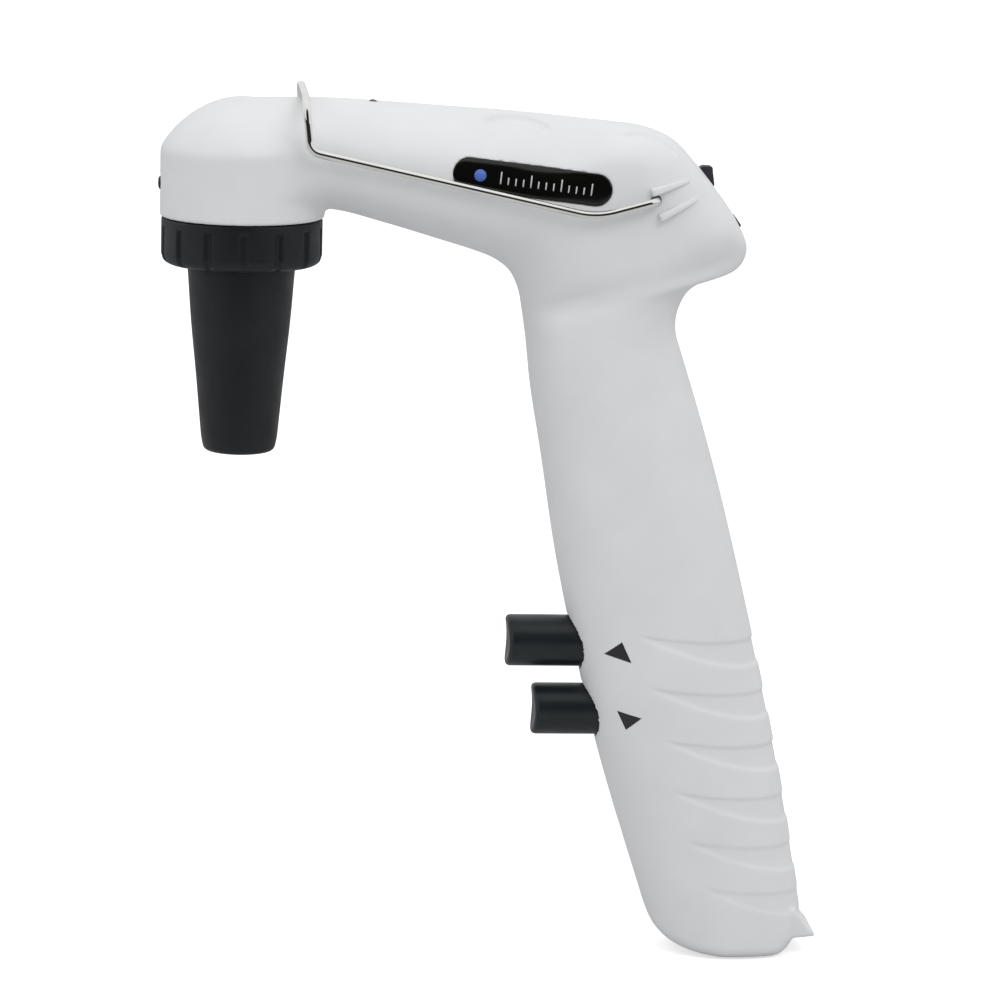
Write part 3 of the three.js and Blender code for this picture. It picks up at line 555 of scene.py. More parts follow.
def meshed(field):
    """The zero surface of a field, as millimetre points and quads that face outwards."""
    grid = openvdb.FloatGrid(1.0)
    grid.copyFromArray(np.clip(field, -1, 1).astype(np.float32))
    points, quads = grid.convertToQuads(0.0)
    points = points.astype(float) * VOXEL + FIELD_LOW
    corner = points[quads]
    spread = np.cross(corner[:, 2] - corner[:, 0], corner[:, 3] - corner[:, 1])
    if (spread * corner.mean(1)).sum() < 0:
        quads = quads[:, ::-1]
    return points, quads


def relaxed(points, quads, passes):
    """Evens out a mesh by moving each point halfway to the middle of its neighbours."""
    edges = np.concatenate([quads[:, [k, (k + 1) % 4]] for k in range(4)])
    count = np.bincount(edges.ravel(), minlength=len(points))[:, None]
    for _ in range(passes):
        total = np.zeros_like(points)
        for axis in range(3):
            total[:, axis] += np.bincount(edges[:, 0], points[edges[:, 1], axis], len(points))
            total[:, axis] += np.bincount(edges[:, 1], points[edges[:, 0], axis], len(points))
        points = points + 0.5 * (total / count - points)
    return points


def casing_skin():
    """The smooth outer form of the casing as a distance field, before any relief or opening."""
    points, quads = body_skin()
    body = skin_distance(points, quads, end_fans())
    nose_points, nose_quads = nose_skin()
    nose = skin_distance(nose_points, nose_quads, None)
    skin = soften(joined_nose(body, nose), 6)
    # A flat cut under the head, which drops away steeply outside the nose.
    underside = HEAD_BOTTOM - Z - np.maximum(np.hypot(X, Y) - 24, 0) * 4
    skin = smooth_max(skin, underside, 0.5)
    return smooth_max(skin, outline_distance(handle_end(), SIDE_X, SIDE_Z)[:, None, :], 3.0)


FOOT_OUTLINE = [(144.6, -116.4), (146.7, -119.9), (149.9, -123.3), (149.6, -123.8),
                (145, -124.2), (138, -124.2), (138, -117)]
BADGE_RECESS, BADGE_LIP = 1.2, 0.25  # depth of the recess, and how far the lens laps over it


def casing_field():
    """The whole left shell without its screw holes."""
    skin = casing_skin()
    foot = outline_distance(FOOT_OUTLINE, SIDE_X, SIDE_Z)[:, None, :]
    foot = smooth_max(foot, -Y - FOOT_HALF_WIDTH, 0.5)
    outer = smooth_min(skin, foot, 0.8) + scallops() + roof_hollows()
    recess = np.maximum(badge_distance() + BADGE_LIP, -BADGE_RECESS - skin)
    outer = np.maximum(outer, -recess)
    shell = np.minimum(np.maximum(outer, -(skin + WALL)), supports(skin))
    for cut in openings():
        shell = np.maximum(shell, -cut)
    return shell


def make_casing():
    """Both halves of the casing. The screws go in through the right one."""
    field = casing_field()
    for side, sign, through in (("left", 1, False), ("right", -1, True)):
        half = np.maximum(field, -shank_holes(through))
        half = np.maximum(half, Y + SEAM / 2)
        points, quads = meshed(half)
        points = relaxed(points, quads, 2)
        points[:, 1] = np.minimum(points[:, 1], -SEAM / 2)
        points = points * (1, sign, 1)
        mesh_piece(f"casing_{side}_shell", points, quads.tolist(), "casing", [f"casing_{side}"],
                   "casing")


# ---------- patches that follow the casing

def smooth_side():
    """The casing's side without reliefs, for pieces that fill a recess."""
    points, quads = body_skin()
    return BVHTree.FromPolygons(points.tolist(), quads.tolist())


def side_at(x, z):
    """How far out the casing's side reaches at a place in the side view."""
    hit = SIDE.ray_cast(Vector((x, -60, z)), Vector((0, 1, 0)))[0]
    return -hit.y if hit else 0.0


def thin_patch(plan_points, plan_faces, proud, depth, side):
    """A closed plate over a flat mesh in x and z, bent to follow the casing."""
    plan_points = np.asarray(plan_points, float)
    count = len(plan_points)
    reach = np.array([side_at(x, z) for x, z in plan_points])
    layers = []
    for out in (reach + proud, reach - depth):
        layers.append(np.stack([plan_points[:, 0], side * out, plan_points[:, 1]], -1))
    faces = [list(face) for face in plan_faces]
    faces += [[index + count for index in reversed(face)] for face in plan_faces]
    uses = {}
    for face in plan_faces:
        for a, b in zip(face, list(face[1:]) + [face[0]]):
            uses.setdefault((min(a, b), max(a, b)), []).append((a, b))
    for pair in uses.values():
        if len(pair) == 1:
            a, b = pair[0]
            faces.append([b, a, a + count, b + count])
    return np.concatenate(layers), faces


def fine_polygon(outline, spacing=0.5):
    """A flat mesh over an outline, divided so that it can bend."""
    work = bmesh.new()
    verts = [work.verts.new((x, 0, z)) for x, z in outline]
    work.faces.new(verts)
    longest = max(math.dist(outline[i], outline[i - 1]) for i in range(len(outline)))
    cuts = max(1, int(longest / spacing))
    bmesh.ops.triangulate(work, faces=work.faces[:])
    bmesh.ops.subdivide_edges(work, edges=work.edges[:], cuts=cuts, use_grid_fill=True)
    work.verts.index_update()
    points = [(v.co.x, v.co.z) for v in work.verts]
    faces = [[v.index for v in face.verts] for face in work.faces]
    work.free()
    return points, faces


def stadium_rings(shares, count=48):
    """The badge's outline in the side view, drawn in to each share of the way out to its rim."""
    reach = (BADGE["length"] - BADGE["height"]) / 2
    turn = np.linspace(-math.pi / 2, math.pi / 2, count)
    straight = np.linspace(reach, -reach, count * 2)[1:-1]
    core = np.concatenate([np.full(count, reach), straight, np.full(count, -reach), -straight])
    angle = np.concatenate([turn, np.full(len(straight), math.pi / 2), turn + math.pi,
                            np.full(len(straight), -math.pi / 2)])
    rings = []
    for share in shares:
        radius = BADGE["height"] / 2 * share
        x, z = on_badge(core + radius * np.cos(angle), radius * np.sin(angle))
        rings.append(np.stack([x, z], -1))
    return np.stack(rings)


# Section of the badge lens from the middle of its face round its lip to the middle of its back:
# the share of the way out to the rim, and the height above the casing's skin.
LENS_SECTION = [
    (0, 0.38), (0.14, 0.38), (0.36, 0.37), (0.58, 0.35), (0.76, 0.32), (0.88, 0.28),
    (0.95, 0.23), (0.985, 0.16), (1.0, 0.06), (0.985, 0.04), (0.88, 0.04),
    (0.87, 0), (0.87, -0.8), (0.86, -0.85), (0.5, -0.85), (0, -0.85),
]


def make_badges():
    """A glossy crowned lens on each side, set into its recess, with a plain scale on it."""
    plan = stadium_rings([share for share, _ in LENS_SECTION])
    rings, count = plan.shape[:2]
    flat = plan.reshape(-1, 2)
    skin = np.array([side_at(x, z) for x, z in flat])
    out = skin + np.repeat([height for _, height in LENS_SECTION], count)
    faces = grid_faces(rings, count)
    for side, sign in SIDES:
        points = np.stack([flat[:, 0], sign * out, flat[:, 1]], -1)
        mesh_piece(f"badge_{side}_lens", points, faces, "badge", [f"badge_{side}"], "badge")
        make_badge_marks(side, sign)


def on_badge(along, across):
    """A place on the badge, measured from its middle, in the side view."""
    cos, sin = math.cos(BADGE["tilt"]), math.sin(BADGE["tilt"])
    return BADGE["x"] + along * cos + across * sin, BADGE["z"] - along * sin + across * cos


MARK_TOP, MARK_BOTTOM = 0.4, 0.3  # height of the printed marks' two faces above the casing's skin
STROKES, STROKE_SPACING, STROKE_HALF_WIDTH = 13, 1.9, 0.17
FIRST_STROKE, STROKE_FOOT = -8.0, -1.5
DOT_ALONG, DOT_RADIUS = -13.2, 1.5


def badge_mark(outline, sign):
    """A printed shape on the lens, from its outline on the badge."""
    flat = fine_polygon([on_badge(*point) for point in outline], 0.8)
    return thin_patch(*flat, MARK_TOP, -MARK_BOTTOM, sign)


def make_badge_marks(side, sign):
    """A row of plain graduation strokes and a small round dot, printed on the lens."""
    points, faces, start = [], [], 0
    for index in range(STROKES):
        along = FIRST_STROKE + index * STROKE_SPACING
        high = STROKE_FOOT + (3.0 if index % 4 == 0 else 1.8)
        left, right = along - STROKE_HALF_WIDTH, along + STROKE_HALF_WIDTH
        outline = [(left, STROKE_FOOT), (right, STROKE_FOOT), (right, high), (left, high)]
        more, more_faces = badge_mark(outline, sign)
        faces += [[corner + start for corner in face] for face in more_faces]
        points.append(more)
        start += len(more)
    mesh_piece(f"badge_{side}_scale", np.concatenate(points), faces, "mark_grey")
    outline = [(DOT_ALONG + DOT_RADIUS * math.cos(a), DOT_RADIUS * math.sin(a))
               for a in circle(32)]
    mesh_piece(f"badge_{side}_dot", *badge_mark(outline, sign), "mark_blue")


# The two fins behind the pivot on each side: both ends in the side view.
FINS = {"upper": ((101.0, 69.0), (110.8, 71.9)), "lower": ((103.2, 62.7), (112.9, 67.4))}


def make_fins():
    """Thin ramps behind the pivot, between which the flipped stand lies."""
    along = np.linspace(0, 1, 25)
    across = np.array([-1, -0.82, -0.5, 0, 0.5, 0.82, 1])
    rounding = np.array([0.3, 0.08, 0, 0, 0, 0.08, 0.3])
    for name, (start, end) in FINS.items():
        start, end = np.array(start), np.array(end)
        ahead = (end - start) / np.linalg.norm(end - start)
        aside = np.array([-ahead[1], ahead[0]])
        half = 1.0 - 0.45 * along
        plan = (start + along[:, None, None] * (end - start)
                + (half[:, None] * across)[..., None] * aside)
        ramp = 2.0 * (1 - along) ** 0.8 + 0.12 - 0.5 * (1 - step(along, 0.06))
        proud = (ramp[:, None] - rounding * np.minimum(ramp, 1)[:, None]).ravel()
        faces = grid_faces(len(along), len(across), close_columns=False)
        for side, sign in SIDES:
            fin = thin_patch(plan.reshape(-1, 2), faces, proud, 0.7, sign)
            mesh_piece(f"casing_{side}_fin_{name}", *fin, "casing")


def make_arrows():
    """Printed triangles beside the buttons: up to draw in, down to let out."""
    triangles = {
        "up": [(97.1, -45.6), (92.9, -49.1), (99.6, -50.9)],
        "down": [(96.6, -63.9), (102.6, -65.3), (98.9, -68.7)],
    }
    for name, outline in triangles.items():
        plan, plan_faces = fine_polygon(outline)
        for side, sign in SIDES:
            arrow = thin_patch(plan, plan_faces, 0.05, 0.3, sign)
            mesh_piece(f"arrow_{name}_{side}", *arrow, "print")


# ---------- nose

GROOVE_DEPTH = 0.75


def ring_groove(radius, height, angle):
    """How deep the finger grooves cut at a point on the ring nut's outside."""
    pitch = 2 * math.pi / RING_RIBS
    away = np.abs((angle / pitch) % 1 - 0.5) * pitch * RING_RADIUS
    across = 1 - step(away - 0.55, 0.55)
    below_collar = 1 - step(height - RING_HIGH[2] + 2.4, 0.7)
    outside = step(radius - RING_RADIUS + 2.6, 1.0)
    return GROOVE_DEPTH * across * below_collar * outside


def make_ring_nut():
    """A deep ring with a rounded lower edge and finger grooves all round."""
    low, top = RING_LOW[2], RING_HIGH[2]
    outer = [(13.75, low - 0.5), (14.1, low - 0.5), (14.9, low), (18.0, low), (19.7, low + 0.9),
             (RING_RADIUS, low + 2.8)]
    outer += [(RING_RADIUS, height) for height in np.linspace(low + 3.2, top - 0.4, 24)]
    outer += [(RING_RADIUS - 0.15, top), (17.3, top), (17.3, low + 2.5), (13.75, low + 2.5)]
    radii = [0.1, 0.2, 0.5, 1.6, 1.6, 1.0] + [0] * 24 + [0.3, 0.3, 0.3, 0.2]
    profile = fillet(outer, radii, closed=True, steps=5)
    lathe("ring_nut_knurled", profile, "nose", ["ring_nut"], "nose_plastic", "ring_nut",
          segments=RING_RIBS * 30, carve=ring_groove)


def make_nose_cone():
    """A hollow taper that flares to a flange inside the ring nut."""
    outline = [(5.2, 0), (6.4, 0), (8.9, 0.5), (9.6, 3.6), (11.1, 20), (12.5, 33), (13.25, 43.5),
               (13.55, 47.0), (13.4, 50.4), (16.4, 50.4), (16.4, 52.3), (11.4, 52.3), (10.8, 36),
               (7.5, 2), (5.2, 2)]
    radii = [0.3, 1.0, 1.8, 3.0, 6, 6, 4, 0.8, 0.2, 0.3, 0.3, 0.3, 3, 0.5, 0.3]
    profile = fillet(outline, radii, closed=True, steps=8)
    lathe("nose_cone_shell", profile, "nose", ["nose_cone"], "nose_plastic", "nose")


def make_pipette_holder():
    """A silicone sleeve whose inside ribs grip the pipette."""
    inside = [(3.75 + 0.28 * math.cos(z * 2 * math.pi / 3.4), z) for z in np.arange(29, 4.8, -0.3)]
    outline = [(5.0, 2.4), (6.9, 2.4), (8.6, 20), (10.3, 37.4), (2.8, 37.4), (2.8, 31)]
    profile = fillet(outline, 0.5, steps=4) + inside
    lathe("pipette_holder_sleeve", profile, "silicone", ["pipette_holder"], "silicone", "nose")


def make_nozzle_seat():
    """The threaded spigot that the ring nut screws on to."""
    bottom = HEAD_BOTTOM + WALL + GAP

    def thread(radius, height, angle):
        turn = (height / 2.0 - angle / (2 * math.pi)) % 1
        return 0.35 * step(radius - 16.5, 0.4) * (height < HEAD_BOTTOM - 0.6) * (
            0.5 + 0.5 * np.cos(2 * math.pi * turn))

    spigot = [(SPIGOT_RADIUS, height) for height in np.arange(53.0, bottom, 0.2)]
    outline = [(1.2, 56), (3.0, 56), (3.0, bottom), (14.8, bottom), (14.8, 52.6),
               (SPIGOT_RADIUS - 0.3, 52.6)] + spigot
    outline += [(SPIGOT_RADIUS, bottom), (18.2, bottom), (18.2, 64.1), (2.6, 64.1), (2.6, 68.4),
                (2.0, 69.4), (1.2, 69.4)]
    lathe("nozzle_seat_threaded", outline, "inner", ["nozzle_seat"], "inner_plastic",
          carve=thread)


# ---------- controls

def make_buttons():
    """Round-edged plungers with a hollow across the front for a fingertip."""
    for name in BUTTONS:
        low, high = corners(f"{name}_button")
        face, back = low[0], high[0]

        def saddle(points):
            """Pushes the front in along a groove that runs from side to side."""
            deep = 0.95 * np.clip(1 - (points[:, 2] / 6.3) ** 2, 0, 1)
            near = 1 - step(points[:, 0] - face - 0.4, 3.0)
            return points + np.stack([deep * near, 0 * deep, 0 * deep], -1)

        flange = back - 1.5
        radius = BUTTON_RADIUS
        outline = [(0, face + 0.5), (2.2, face + 0.45), (4.2, face + 0.2), (5.4, face),
                   (6.25, face + 0.5), (radius, face + 1.3), (radius, flange),
                   (8.2, flange), (8.2, back), (2.6, back), (2.6, back - 6), (0, back - 6)]
        radii = [0, 0.9, 0.8, 0.5, 0.6, 0.8, 0.1, 0.3, 0.3, 0.2, 0.1, 0]
        centre = (0, 0, (low[2] + high[2]) / 2)
        lathe(f"{name}_button_plunger", fillet(outline, radii), "button", [f"{name}_button"],
              "button", f"{name}_button", axis="X", centre=centre, closed=False, bend=saddle)


def round_edges(piece, width):
    """Rounds the sharp edges of a piece."""
    work = bmesh.new()
    work.from_mesh(piece.data)
    sharp = [edge for edge in work.edges if edge.calc_face_angle(0) > 0.5]
    bmesh.ops.bevel(work, geom=sharp, offset=width * MM, segments=3, profile=0.5,
                    affect="EDGES", clamp_overlap=True)
    work.to_mesh(piece.data)
    work.free()
    piece.data.shade_smooth()


def make_switch_knob():
    """A thumb slider: steep and proud at its upper end, ribbed where it falls away."""
    side = [(-3, -2.7), (3, -2.7), (3, 0.15)]
    for index in range(4):
        down = 2.4 - index * 0.85
        side += [(down + 0.25, 0.2 + (2.6 - down) * 0.5), (down - 0.12, 0.45 + (2.6 - down) * 0.5)]
    side += [(-1.2, 2.3), (-1.7, 2.0), (-2.8, 0.5)]
    points, faces = prism(side, -1.9, 1.9)
    points[:, 0] += SWITCH_DOWN
    piece = mesh_piece("speed_switch_thumb", on_slope(points), faces, "switch_knob",
                       ["speed_switch_knob"], "switch_knob", "speed_switch")
    round_edges(piece, 0.16)


def make_charge_socket():
    """A barrel with a brass pin in its middle, square to the rear slope."""
    outline = [(1.2, -6.5), (SOCKET_RADIUS, -6.5), (SOCKET_RADIUS, 0.3), (1.2, 0.3)]
    profile = fillet(outline, [0.1, 0.1, 0.25, 0.25], closed=True, steps=4)
    points = turned(profile, 64, "Z") + np.array([SOCKET_DOWN, 0, 0])
    mesh_piece("charge_socket_barrel", on_slope(points),
               grid_faces(len(profile), 64, close_rows=True), "rubber", ["charge_socket"], "rubber")
    pin = turned(fillet([(0, -6.4), (0.45, -6.4), (0.45, -0.6), (0, -0.4)], 0.1), 32, "Z")
    mesh_piece("charge_socket_pin", on_slope(pin + np.array([SOCKET_DOWN, 0, 0])),
               grid_faces(len(pin) // 32, 32), "brass")


def make_small_fittings():
    """The status light's lens on the roof and the cap over the vent in front."""
    top, bottom = LED_HIGH[2] - 0.6, LED_LOW[2]
    outline = [(0, bottom), (1.6, bottom), (1.6, bottom + 1), (1.1, bottom + 1), (1.1, top - 0.5),
               (0.6, top - 0.08), (0, top)]
    lathe("status_led_lens", fillet(outline, [0, 0.1, 0.1, 0.1, 0.5, 0.5, 0]), "led",
          ["status_led"], "led", segments=48, centre=(LED_X, 0, 0), closed=False)
    front, back = VENT_LOW[0], VENT_HIGH[0]
    outline = [(0, front), (1.0, front + 0.05), (1.7, front + 0.35), (1.7, back - 1),
               (2.5, back - 1), (2.5, back), (0, back)]
    lathe("front_vent_cap", fillet(outline, [0, 0.4, 0.4, 0.1, 0.1, 0.1, 0]), "rubber",
          ["front_vent_plug"], "rubber", segments=48, axis="X", centre=(0, 0, VENT_Z),
          closed=False)


# ---------- wire and screws

def make_wire_stand():
    """Leaves its hole, drops to a bend, rises to the nose and crosses over the roof."""
    low, high = corners("wire_stand")
    spread = (high[1] - low[1]) / 2 - WIRE_RADIUS
    top = high[2] - WIRE_RADIUS

    def leg(sign):
        return [(PIVOT[0], sign * 13.2, PIVOT[2]), (PIVOT[0], sign * 19.5, PIVOT[2]),
                (87.2, sign * (spread - 1.6), 62.9), (15.9, sign * spread, 78.3),
                (14.8, sign * spread, top)]

    points = leg(-1) + leg(1)[::-1]
    radii = [0, 2.2, 5.0, 2.8, 6.0, 6.0, 2.8, 5.0, 2.2, 0]
    path = fillet(points, radii, steps=14)
    mesh_piece("wire_stand_bent", *swept(path, WIRE_RADIUS, 24), "wire", ["wire_stand"], "wire",
               "wire_stand")


def make_screws():
    """Pan-head screws with a cross recess, deep in the right half's counterbores."""
    seat = SCREW_SEAT
    for number, (x, _, z) in enumerate(SCREWS, 1):
        outline = [(0, -7), (0.5, -7), (SCREW_SHANK, -5.6), (SCREW_SHANK, seat),
                   (SCREW_HEAD, seat), (SCREW_HEAD, seat + 0.9), (1.9, seat + 1.6), (0, seat + 1.8)]
        profile = fillet(outline, [0, 0.2, 0.3, 0.1, 0.2, 0.6, 0.8, 0], steps=4)
        dense = [(r, seat + 1.8 - (r / 5.5) ** 2) for r in np.arange(1.5, 0, -0.15)]
        profile = profile[:-3] + dense + [profile[-1]]
        points = turned(profile, 64, "Z")
        slot = np.minimum(np.abs(points[:, 0]), np.abs(points[:, 1]))
        reach = np.hypot(points[:, 0], points[:, 1])
        head = points[:, 2] > seat + 1.2
        points[:, 2] -= head * 0.9 * (1 - step(slot - 0.22, 0.2)) * (1 - step(reach - 1.3, 0.3))
        place = np.stack([points[:, 0] + x, points[:, 2], points[:, 1] + z], -1)
        mesh_piece(f"screw_{number}", place, grid_faces(len(profile), 64), "steel",
                   [f"casing_screw_{number}"], "screw_steel")


# ---------- materials

def srgb(red, green, blue):
    """Linear colour from display values of 0 to 255."""
    def linear(value):
        value /= 255
        return value / 12.92 if value <= 0.04045 else ((value + 0.055) / 1.055) ** 2.4
    return linear(red), linear(green), linear(blue), 1.0


def shader_node(tree, kind, sockets=(), **settings):
    """Adds a node. A socket takes a plain value, or another node's output to link to."""
    node = tree.nodes.new("ShaderNode" + kind)
    for name, value in settings.items():
        setattr(node, name, value)
    for name, value in dict(sockets).items():
        if isinstance(value, bpy.types.NodeSocket):
            tree.links.new(value, node.inputs[name])
        else:
            node.inputs[name].default_value = value
    return node


def remapped(tree, value, old, new=(0, 1), **settings):
    """A value moved from one range to another, and held within it."""
    sockets = {"Value": value, "From Min": old[0], "From Max": old[1], "To Min": new[0],
               "To Max": new[1]}
    return shader_node(tree, "MapRange", sockets, **settings).outputs["Result"]


def mixed(tree, share, first, second, kind="FLOAT"):
    sockets = {"Factor": share, "A": first, "B": second}
    return shader_node(tree, "Mix", sockets, data_type=kind).outputs["Result"]


def multiplied(tree, first, second):
    node = shader_node(tree, "Math", {0: first, 1: second}, operation="MULTIPLY")
    return node.outputs["Value"]


class Finish:
    """A node material that is put together step by step."""

    def __init__(self, name, colour, roughness, **inputs):
        self.material = bpy.data.materials.new(name)
        self.material.use_nodes = True
        self.tree = self.material.node_tree
        self.sockets = self.tree.nodes["Principled BSDF"].inputs
        self.place = shader_node(self.tree, "TexCoord").outputs["Object"]
        self.normal = None
        self.sockets["Base Color"].default_value = colour
        self.sockets["Roughness"].default_value = roughness
        for key, value in inputs.items():
            self.sockets[key.replace("_", " ")].default_value = value

    def noise(self, scale, detail):
        sockets = {"Vector": self.place, "Scale": scale, "Detail": detail, "Roughness": 0.55}
        return shader_node(self.tree, "TexNoise", sockets).outputs["Fac"]

    def vary_colour(self, other, scale, share):
        """Mixes a second colour in soft patches."""
        colour = tuple(self.sockets["Base Color"].default_value)
        patches = remapped(self.tree, self.noise(scale, 3.0), (0.35, 0.65), (0, share))
        mix = mixed(self.tree, patches, colour, other, "RGBA")
        self.tree.links.new(mix, self.sockets["Base Color"])
        return self

    def vary_roughness(self, low, high, scale):
        patches = remapped(self.tree, self.noise(scale, 5.0), (0.3, 0.7), (low, high))
        self.tree.links.new(patches, self.sockets["Roughness"])
        return self

    def bump(self, scale, depth_mm):
        """Raises fine grain. Calls stack, each on top of the one before."""
        sockets = {"Distance": depth_mm * MM, "Height": self.noise(scale, 2.0)}
        if self.normal:
            sockets["Normal"] = self.normal
        self.normal = shader_node(self.tree, "Bump", sockets).outputs["Normal"]
        self.tree.links.new(self.normal, self.sockets["Normal"])
        return self


def casing_finish():
    """Fine-textured white plastic."""
    finish = Finish("casing_white_plastic", srgb(234, 235, 236), 0.42, Specular_IOR_Level=0.45)
    finish.vary_colour(srgb(229, 230, 232), 60, 0.8)
    finish.vary_roughness(0.36, 0.5, 90)
    return finish.bump(2600, 0.012).bump(160, 0.02).material


def dark_plastic(name, colour, other, low, high, grain):
    finish = Finish(name, srgb(*colour), high, Specular_IOR_Level=0.4)
    finish.vary_colour(srgb(*other), 120, 0.9).vary_roughness(low, high, 140)
    return finish.bump(2200, grain).bump(240, 0.02).material


def plain(name, colour, other, roughness, grain=0.01, scale=900, **inputs):
    """A finish in two close display colours, with a grain so many millimetres high."""
    finish = Finish(name, srgb(*colour), roughness, **inputs)
    finish.vary_colour(srgb(*other), 150, 0.7)
    finish.vary_roughness(roughness * 0.85, roughness * 1.15, 200)
    return finish.bump(scale, grain).material


def make_materials():
    steel = dict(Metallic=1.0)
    soft = dict(Subsurface_Weight=0.15, Subsurface_Scale=0.002)
    return {
        "casing": casing_finish(),
        "nose": dark_plastic("nose_dark_plastic", (19, 24, 29), (15, 19, 24), 0.42, 0.58, 0.02),
        "button": dark_plastic("button_dark_plastic", (28, 35, 38), (22, 29, 32), 0.28, 0.42, 0.012),
        "badge": plain("badge_gloss", (13, 12, 10), (9, 9, 9), 0.1, 0.002),
        "mark_grey": plain("mark_silver", (205, 207, 210), (190, 192, 196), 0.3),
        "mark_blue": plain("mark_blue", (86, 122, 205), (72, 106, 190), 0.3),
        "print": plain("printed_ink", (38, 38, 42), (31, 31, 35), 0.5, 0.004),
        "wire": plain("bright_steel_wire", (240, 240, 236), (228, 228, 224), 0.05, 0.002, 400, **steel),
        "steel": plain("screw_steel", (196, 197, 200), (170, 171, 175), 0.28, 0.006, **steel),
        "spring": plain("spring_steel", (180, 182, 186), (150, 152, 156), 0.3, 0.004, **steel),
        "brass": plain("brass", (196, 168, 100), (176, 148, 84), 0.3, 0.004, **steel),
        "rubber": plain("black_rubber", (34, 34, 38), (27, 27, 30), 0.62, 0.02),
        "switch_knob": plain("switch_plastic", (52, 51, 60), (42, 41, 50), 0.45),
        "silicone": plain("silicone", (214, 209, 196), (204, 198, 184), 0.5, 0.01, 500, **soft),
        "membrane": plain("membrane", (236, 236, 230), (222, 222, 214), 0.75, 0.03),
        "inner": plain("inner_plastic", (196, 199, 202), (184, 187, 190), 0.5, 0.015),
        "board": plain("circuit_board", (36, 92, 58), (26, 74, 46), 0.42, 0.03, 1500),
        "cell": plain("cell_wrap", (48, 96, 148), (40, 84, 132), 0.32, 0.006),
        "led": plain("led_lens", (128, 134, 136), (112, 118, 120), 0.12, 0.002,
                     Transmission_Weight=0.4),
        "cable": plain("cable_jacket", (140, 38, 38), (118, 30, 30), 0.48, 0.01),
    }


# The CAD nodes that stay in view, by finish.
INNER_NODES = {
    "board": ["circuit_board"],
    "brass": ["aspirate_valve_stem", "dispense_valve_stem"],
    "cable": ["motor_cable", "battery_cable"],
    "cell": ["battery_cell_front", "battery_cell_rear"],
    "inner": ["connecting_rod", "pump_housing", "pump_head", "valve_block"],
    "membrane": ["membrane_filter"],
    "rubber": ["pump_diaphragm", "battery_cradle", "aspirate_valve_ring", "dispense_valve_ring",
               "aspirate_microswitch", "dispense_microswitch"],
    "silicone": ["filter_gasket", "nose_tube", "pressure_tube", "vacuum_tube"],
    "spring": ["aspirate_spring", "dispense_spring"],
    "steel": ["motor_can", "motor_shaft", "speed_switch_body"],
}


def dress_inner_nodes():
    """Gives the CAD nodes that stay in view their own finishes."""
    for finish, nodes in INNER_NODES.items():
        for node in nodes:
            materials = frame["nodes"][node].data.materials
            materials.clear()
            materials.append(MATERIALS[finish])


def shorten_springs():
    """Gives each return spring its own copy of its mesh."""
    for name in BUTTONS:
        spring = frame["nodes"][f"{name}_spring"]
        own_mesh(spring)


# ---------- stage

FLOOR_DROP = 0.0004  # metres between the sole and the floor
FLOOR_SEEN, FLOOR_BOUNCE = (0.9, 0.9, 0.9, 1), (0.6, 0.6, 0.61, 1)
FLOOR_GLOW = 0.55
NEARLY_BLACK = (0.03, 0.03, 0.03, 1)


def make_floor():
    """A plain white floor just under the sole. In mirrors its part near the camera is dark."""
    work = bmesh.new()
    bmesh.ops.create_grid(work, x_segments=2, y_segments=2, size=14)
    mesh = bpy.data.meshes.new("floor")
    work.to_mesh(mesh)
    work.free()
    floor = bpy.data.objects.new("floor", mesh)
    floor.location = (0, 0, cad_box[0].z - FLOOR_DROP)
    bpy.context.scene.collection.objects.link(floor)
    material = bpy.data.materials.new("floor_white")
    material.use_nodes = True
    tree = material.node_tree
    ray = shader_node(tree, "LightPath").outputs
    colour = mixed(tree, ray["Is Camera Ray"], FLOOR_BOUNCE, FLOOR_SEEN, "RGBA")
    place = shader_node(tree, "NewGeometry").outputs["Position"]
    across = shader_node(tree, "SeparateXYZ", {"Vector": place}).outputs["Y"]
    mirrored = multiplied(tree, remapped(tree, across, (-0.5, -0.9)), ray["Is Glossy Ray"])
    shader = tree.nodes["Principled BSDF"].inputs
    shader["Roughness"].default_value = 0.9
    shader["Specular IOR Level"].default_value = 0.0
    shader["Emission Color"].default_value = (1, 1, 1, 1)
    tree.links.new(mixed(tree, mirrored, colour, NEARLY_BLACK, "RGBA"), shader["Base Color"])
    tree.links.new(multiplied(tree, ray["Is Camera Ray"], FLOOR_GLOW), shader["Emission Strength"])
    mesh.materials.append(material)


LIGHT_LOW, LIGHT_HIGH = 0.62, 0.74  # strength of the light from the horizon and from above
DARK_PATCH = (-0.078, -0.981, 0.178)  # the direction in which mirrors see no light
BACKDROP = 1.2  # strength behind the object, as the camera sees it


def make_world():
    """Soft light from all round, brighter from above. Mirrors also see a dark patch in front."""
    world = bpy.data.worlds.new("soft_studio")
    bpy.context.scene.world = world
    world.use_nodes = True
    tree = world.node_tree
    ray = shader_node(tree, "LightPath").outputs
    direction = shader_node(tree, "TexCoord").outputs["Generated"]
    height = shader_node(tree, "SeparateXYZ", {"Vector": direction}).outputs["Z"]
    light = remapped(tree, height, (-0.1, 0.9), (LIGHT_LOW, LIGHT_HIGH))
    facing = shader_node(tree, "VectorMath", {0: direction, 1: DARK_PATCH}, operation="DOT_PRODUCT")
    patch = remapped(tree, facing.outputs["Value"], (0.78, 0.85), (1.25, 0.04),
                     interpolation_type="SMOOTHSTEP")
    light = multiplied(tree, light, mixed(tree, ray["Is Glossy Ray"], 1.0, patch))
    background = tree.nodes["Background"].inputs
    background["Color"].default_value = (1, 1, 1, 1)
    tree.links.new(mixed(tree, ray["Is Camera Ray"], light, BACKDROP), background["Strength"])


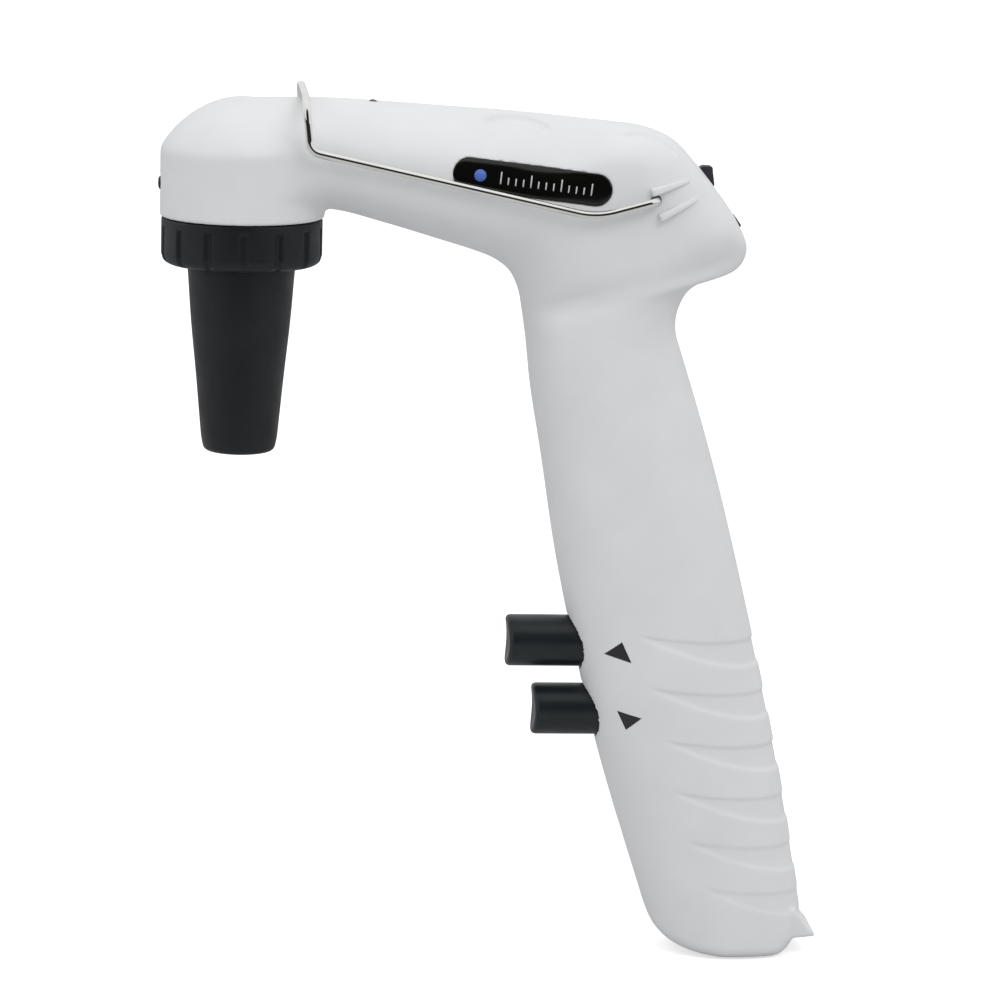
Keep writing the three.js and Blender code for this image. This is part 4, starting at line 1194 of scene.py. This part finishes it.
# Soft lamps: place from the middle of the object, width and height, all in metres, and watts.
LAMPS = {
    "key_softbox": ((0.55, -0.95, 1.2), (0.9, 0.7), 5),
    "fill_softbox": ((-1.1, -0.7, 0.5), (0.9, 0.9), 1.8),
    "top_softbox": ((0.1, 0.2, 1.5), (1.2, 1.2), 2.5),
}


def make_lights():
    centre = (cad_box[0] + cad_box[1]) / 2
    for name, (offset, size, power) in LAMPS.items():
        light = bpy.data.lights.new(name, "AREA")
        light.shape = "RECTANGLE"
        light.size, light.size_y = size
        light.energy = power
        lamp = bpy.data.objects.new(name, light)
        lamp.location = centre + Vector(offset)
        lamp.rotation_mode = "QUATERNION"
        lamp.rotation_quaternion = (-Vector(offset)).to_track_quat("-Z", "Y")
        lamp.visible_glossy = False
        bpy.context.scene.collection.objects.link(lamp)


# The camera looks slightly down on the left side, from in front of the handle.
CAMERA_PLACE = (-29.7, -1199.7, 205.7)
CAMERA_YAW, CAMERA_DOWN, CAMERA_ROLL = map(math.radians, (4.57, 10.24, -1.37))
CAMERA_LENS, SENSOR = 173.66, 36.0


def make_camera():
    camera = bpy.data.objects.new("camera", bpy.data.cameras.new("camera"))
    camera.data.lens = CAMERA_LENS
    camera.data.sensor_width = SENSOR
    camera.data.clip_start, camera.data.clip_end = 0.05, 60
    ahead = Vector((math.sin(CAMERA_YAW) * math.cos(CAMERA_DOWN),
                    math.cos(CAMERA_YAW) * math.cos(CAMERA_DOWN), -math.sin(CAMERA_DOWN)))
    right = ahead.cross(Vector((0, 0, 1))).normalized()
    up = right.cross(ahead)
    cos, sin = math.cos(CAMERA_ROLL), math.sin(CAMERA_ROLL)
    rolled_right, rolled_up = cos * right - sin * up, sin * right + cos * up
    turn = Matrix((rolled_right, rolled_up, -ahead)).transposed()
    place = np.array(CAMERA_PLACE) * MM + MOUTH
    camera.matrix_world = Matrix.Translation(Vector(place)) @ turn.to_4x4()
    bpy.context.scene.collection.objects.link(camera)
    bpy.context.scene.camera = camera
    bpy.context.scene.view_settings.view_transform = "Standard"


# ---------- assembly

MATERIALS = make_materials()
SIDE = smooth_side()
make_casing()
make_badges()
make_fins()
make_arrows()
make_ring_nut()
make_nose_cone()
make_pipette_holder()
make_nozzle_seat()
make_buttons()
make_switch_knob()
make_charge_socket()
make_small_fittings()
make_wire_stand()
make_screws()
dress_inner_nodes()
shorten_springs()

make_floor()
make_world()
make_lights()
make_camera()

bpy.context.view_layer.update()
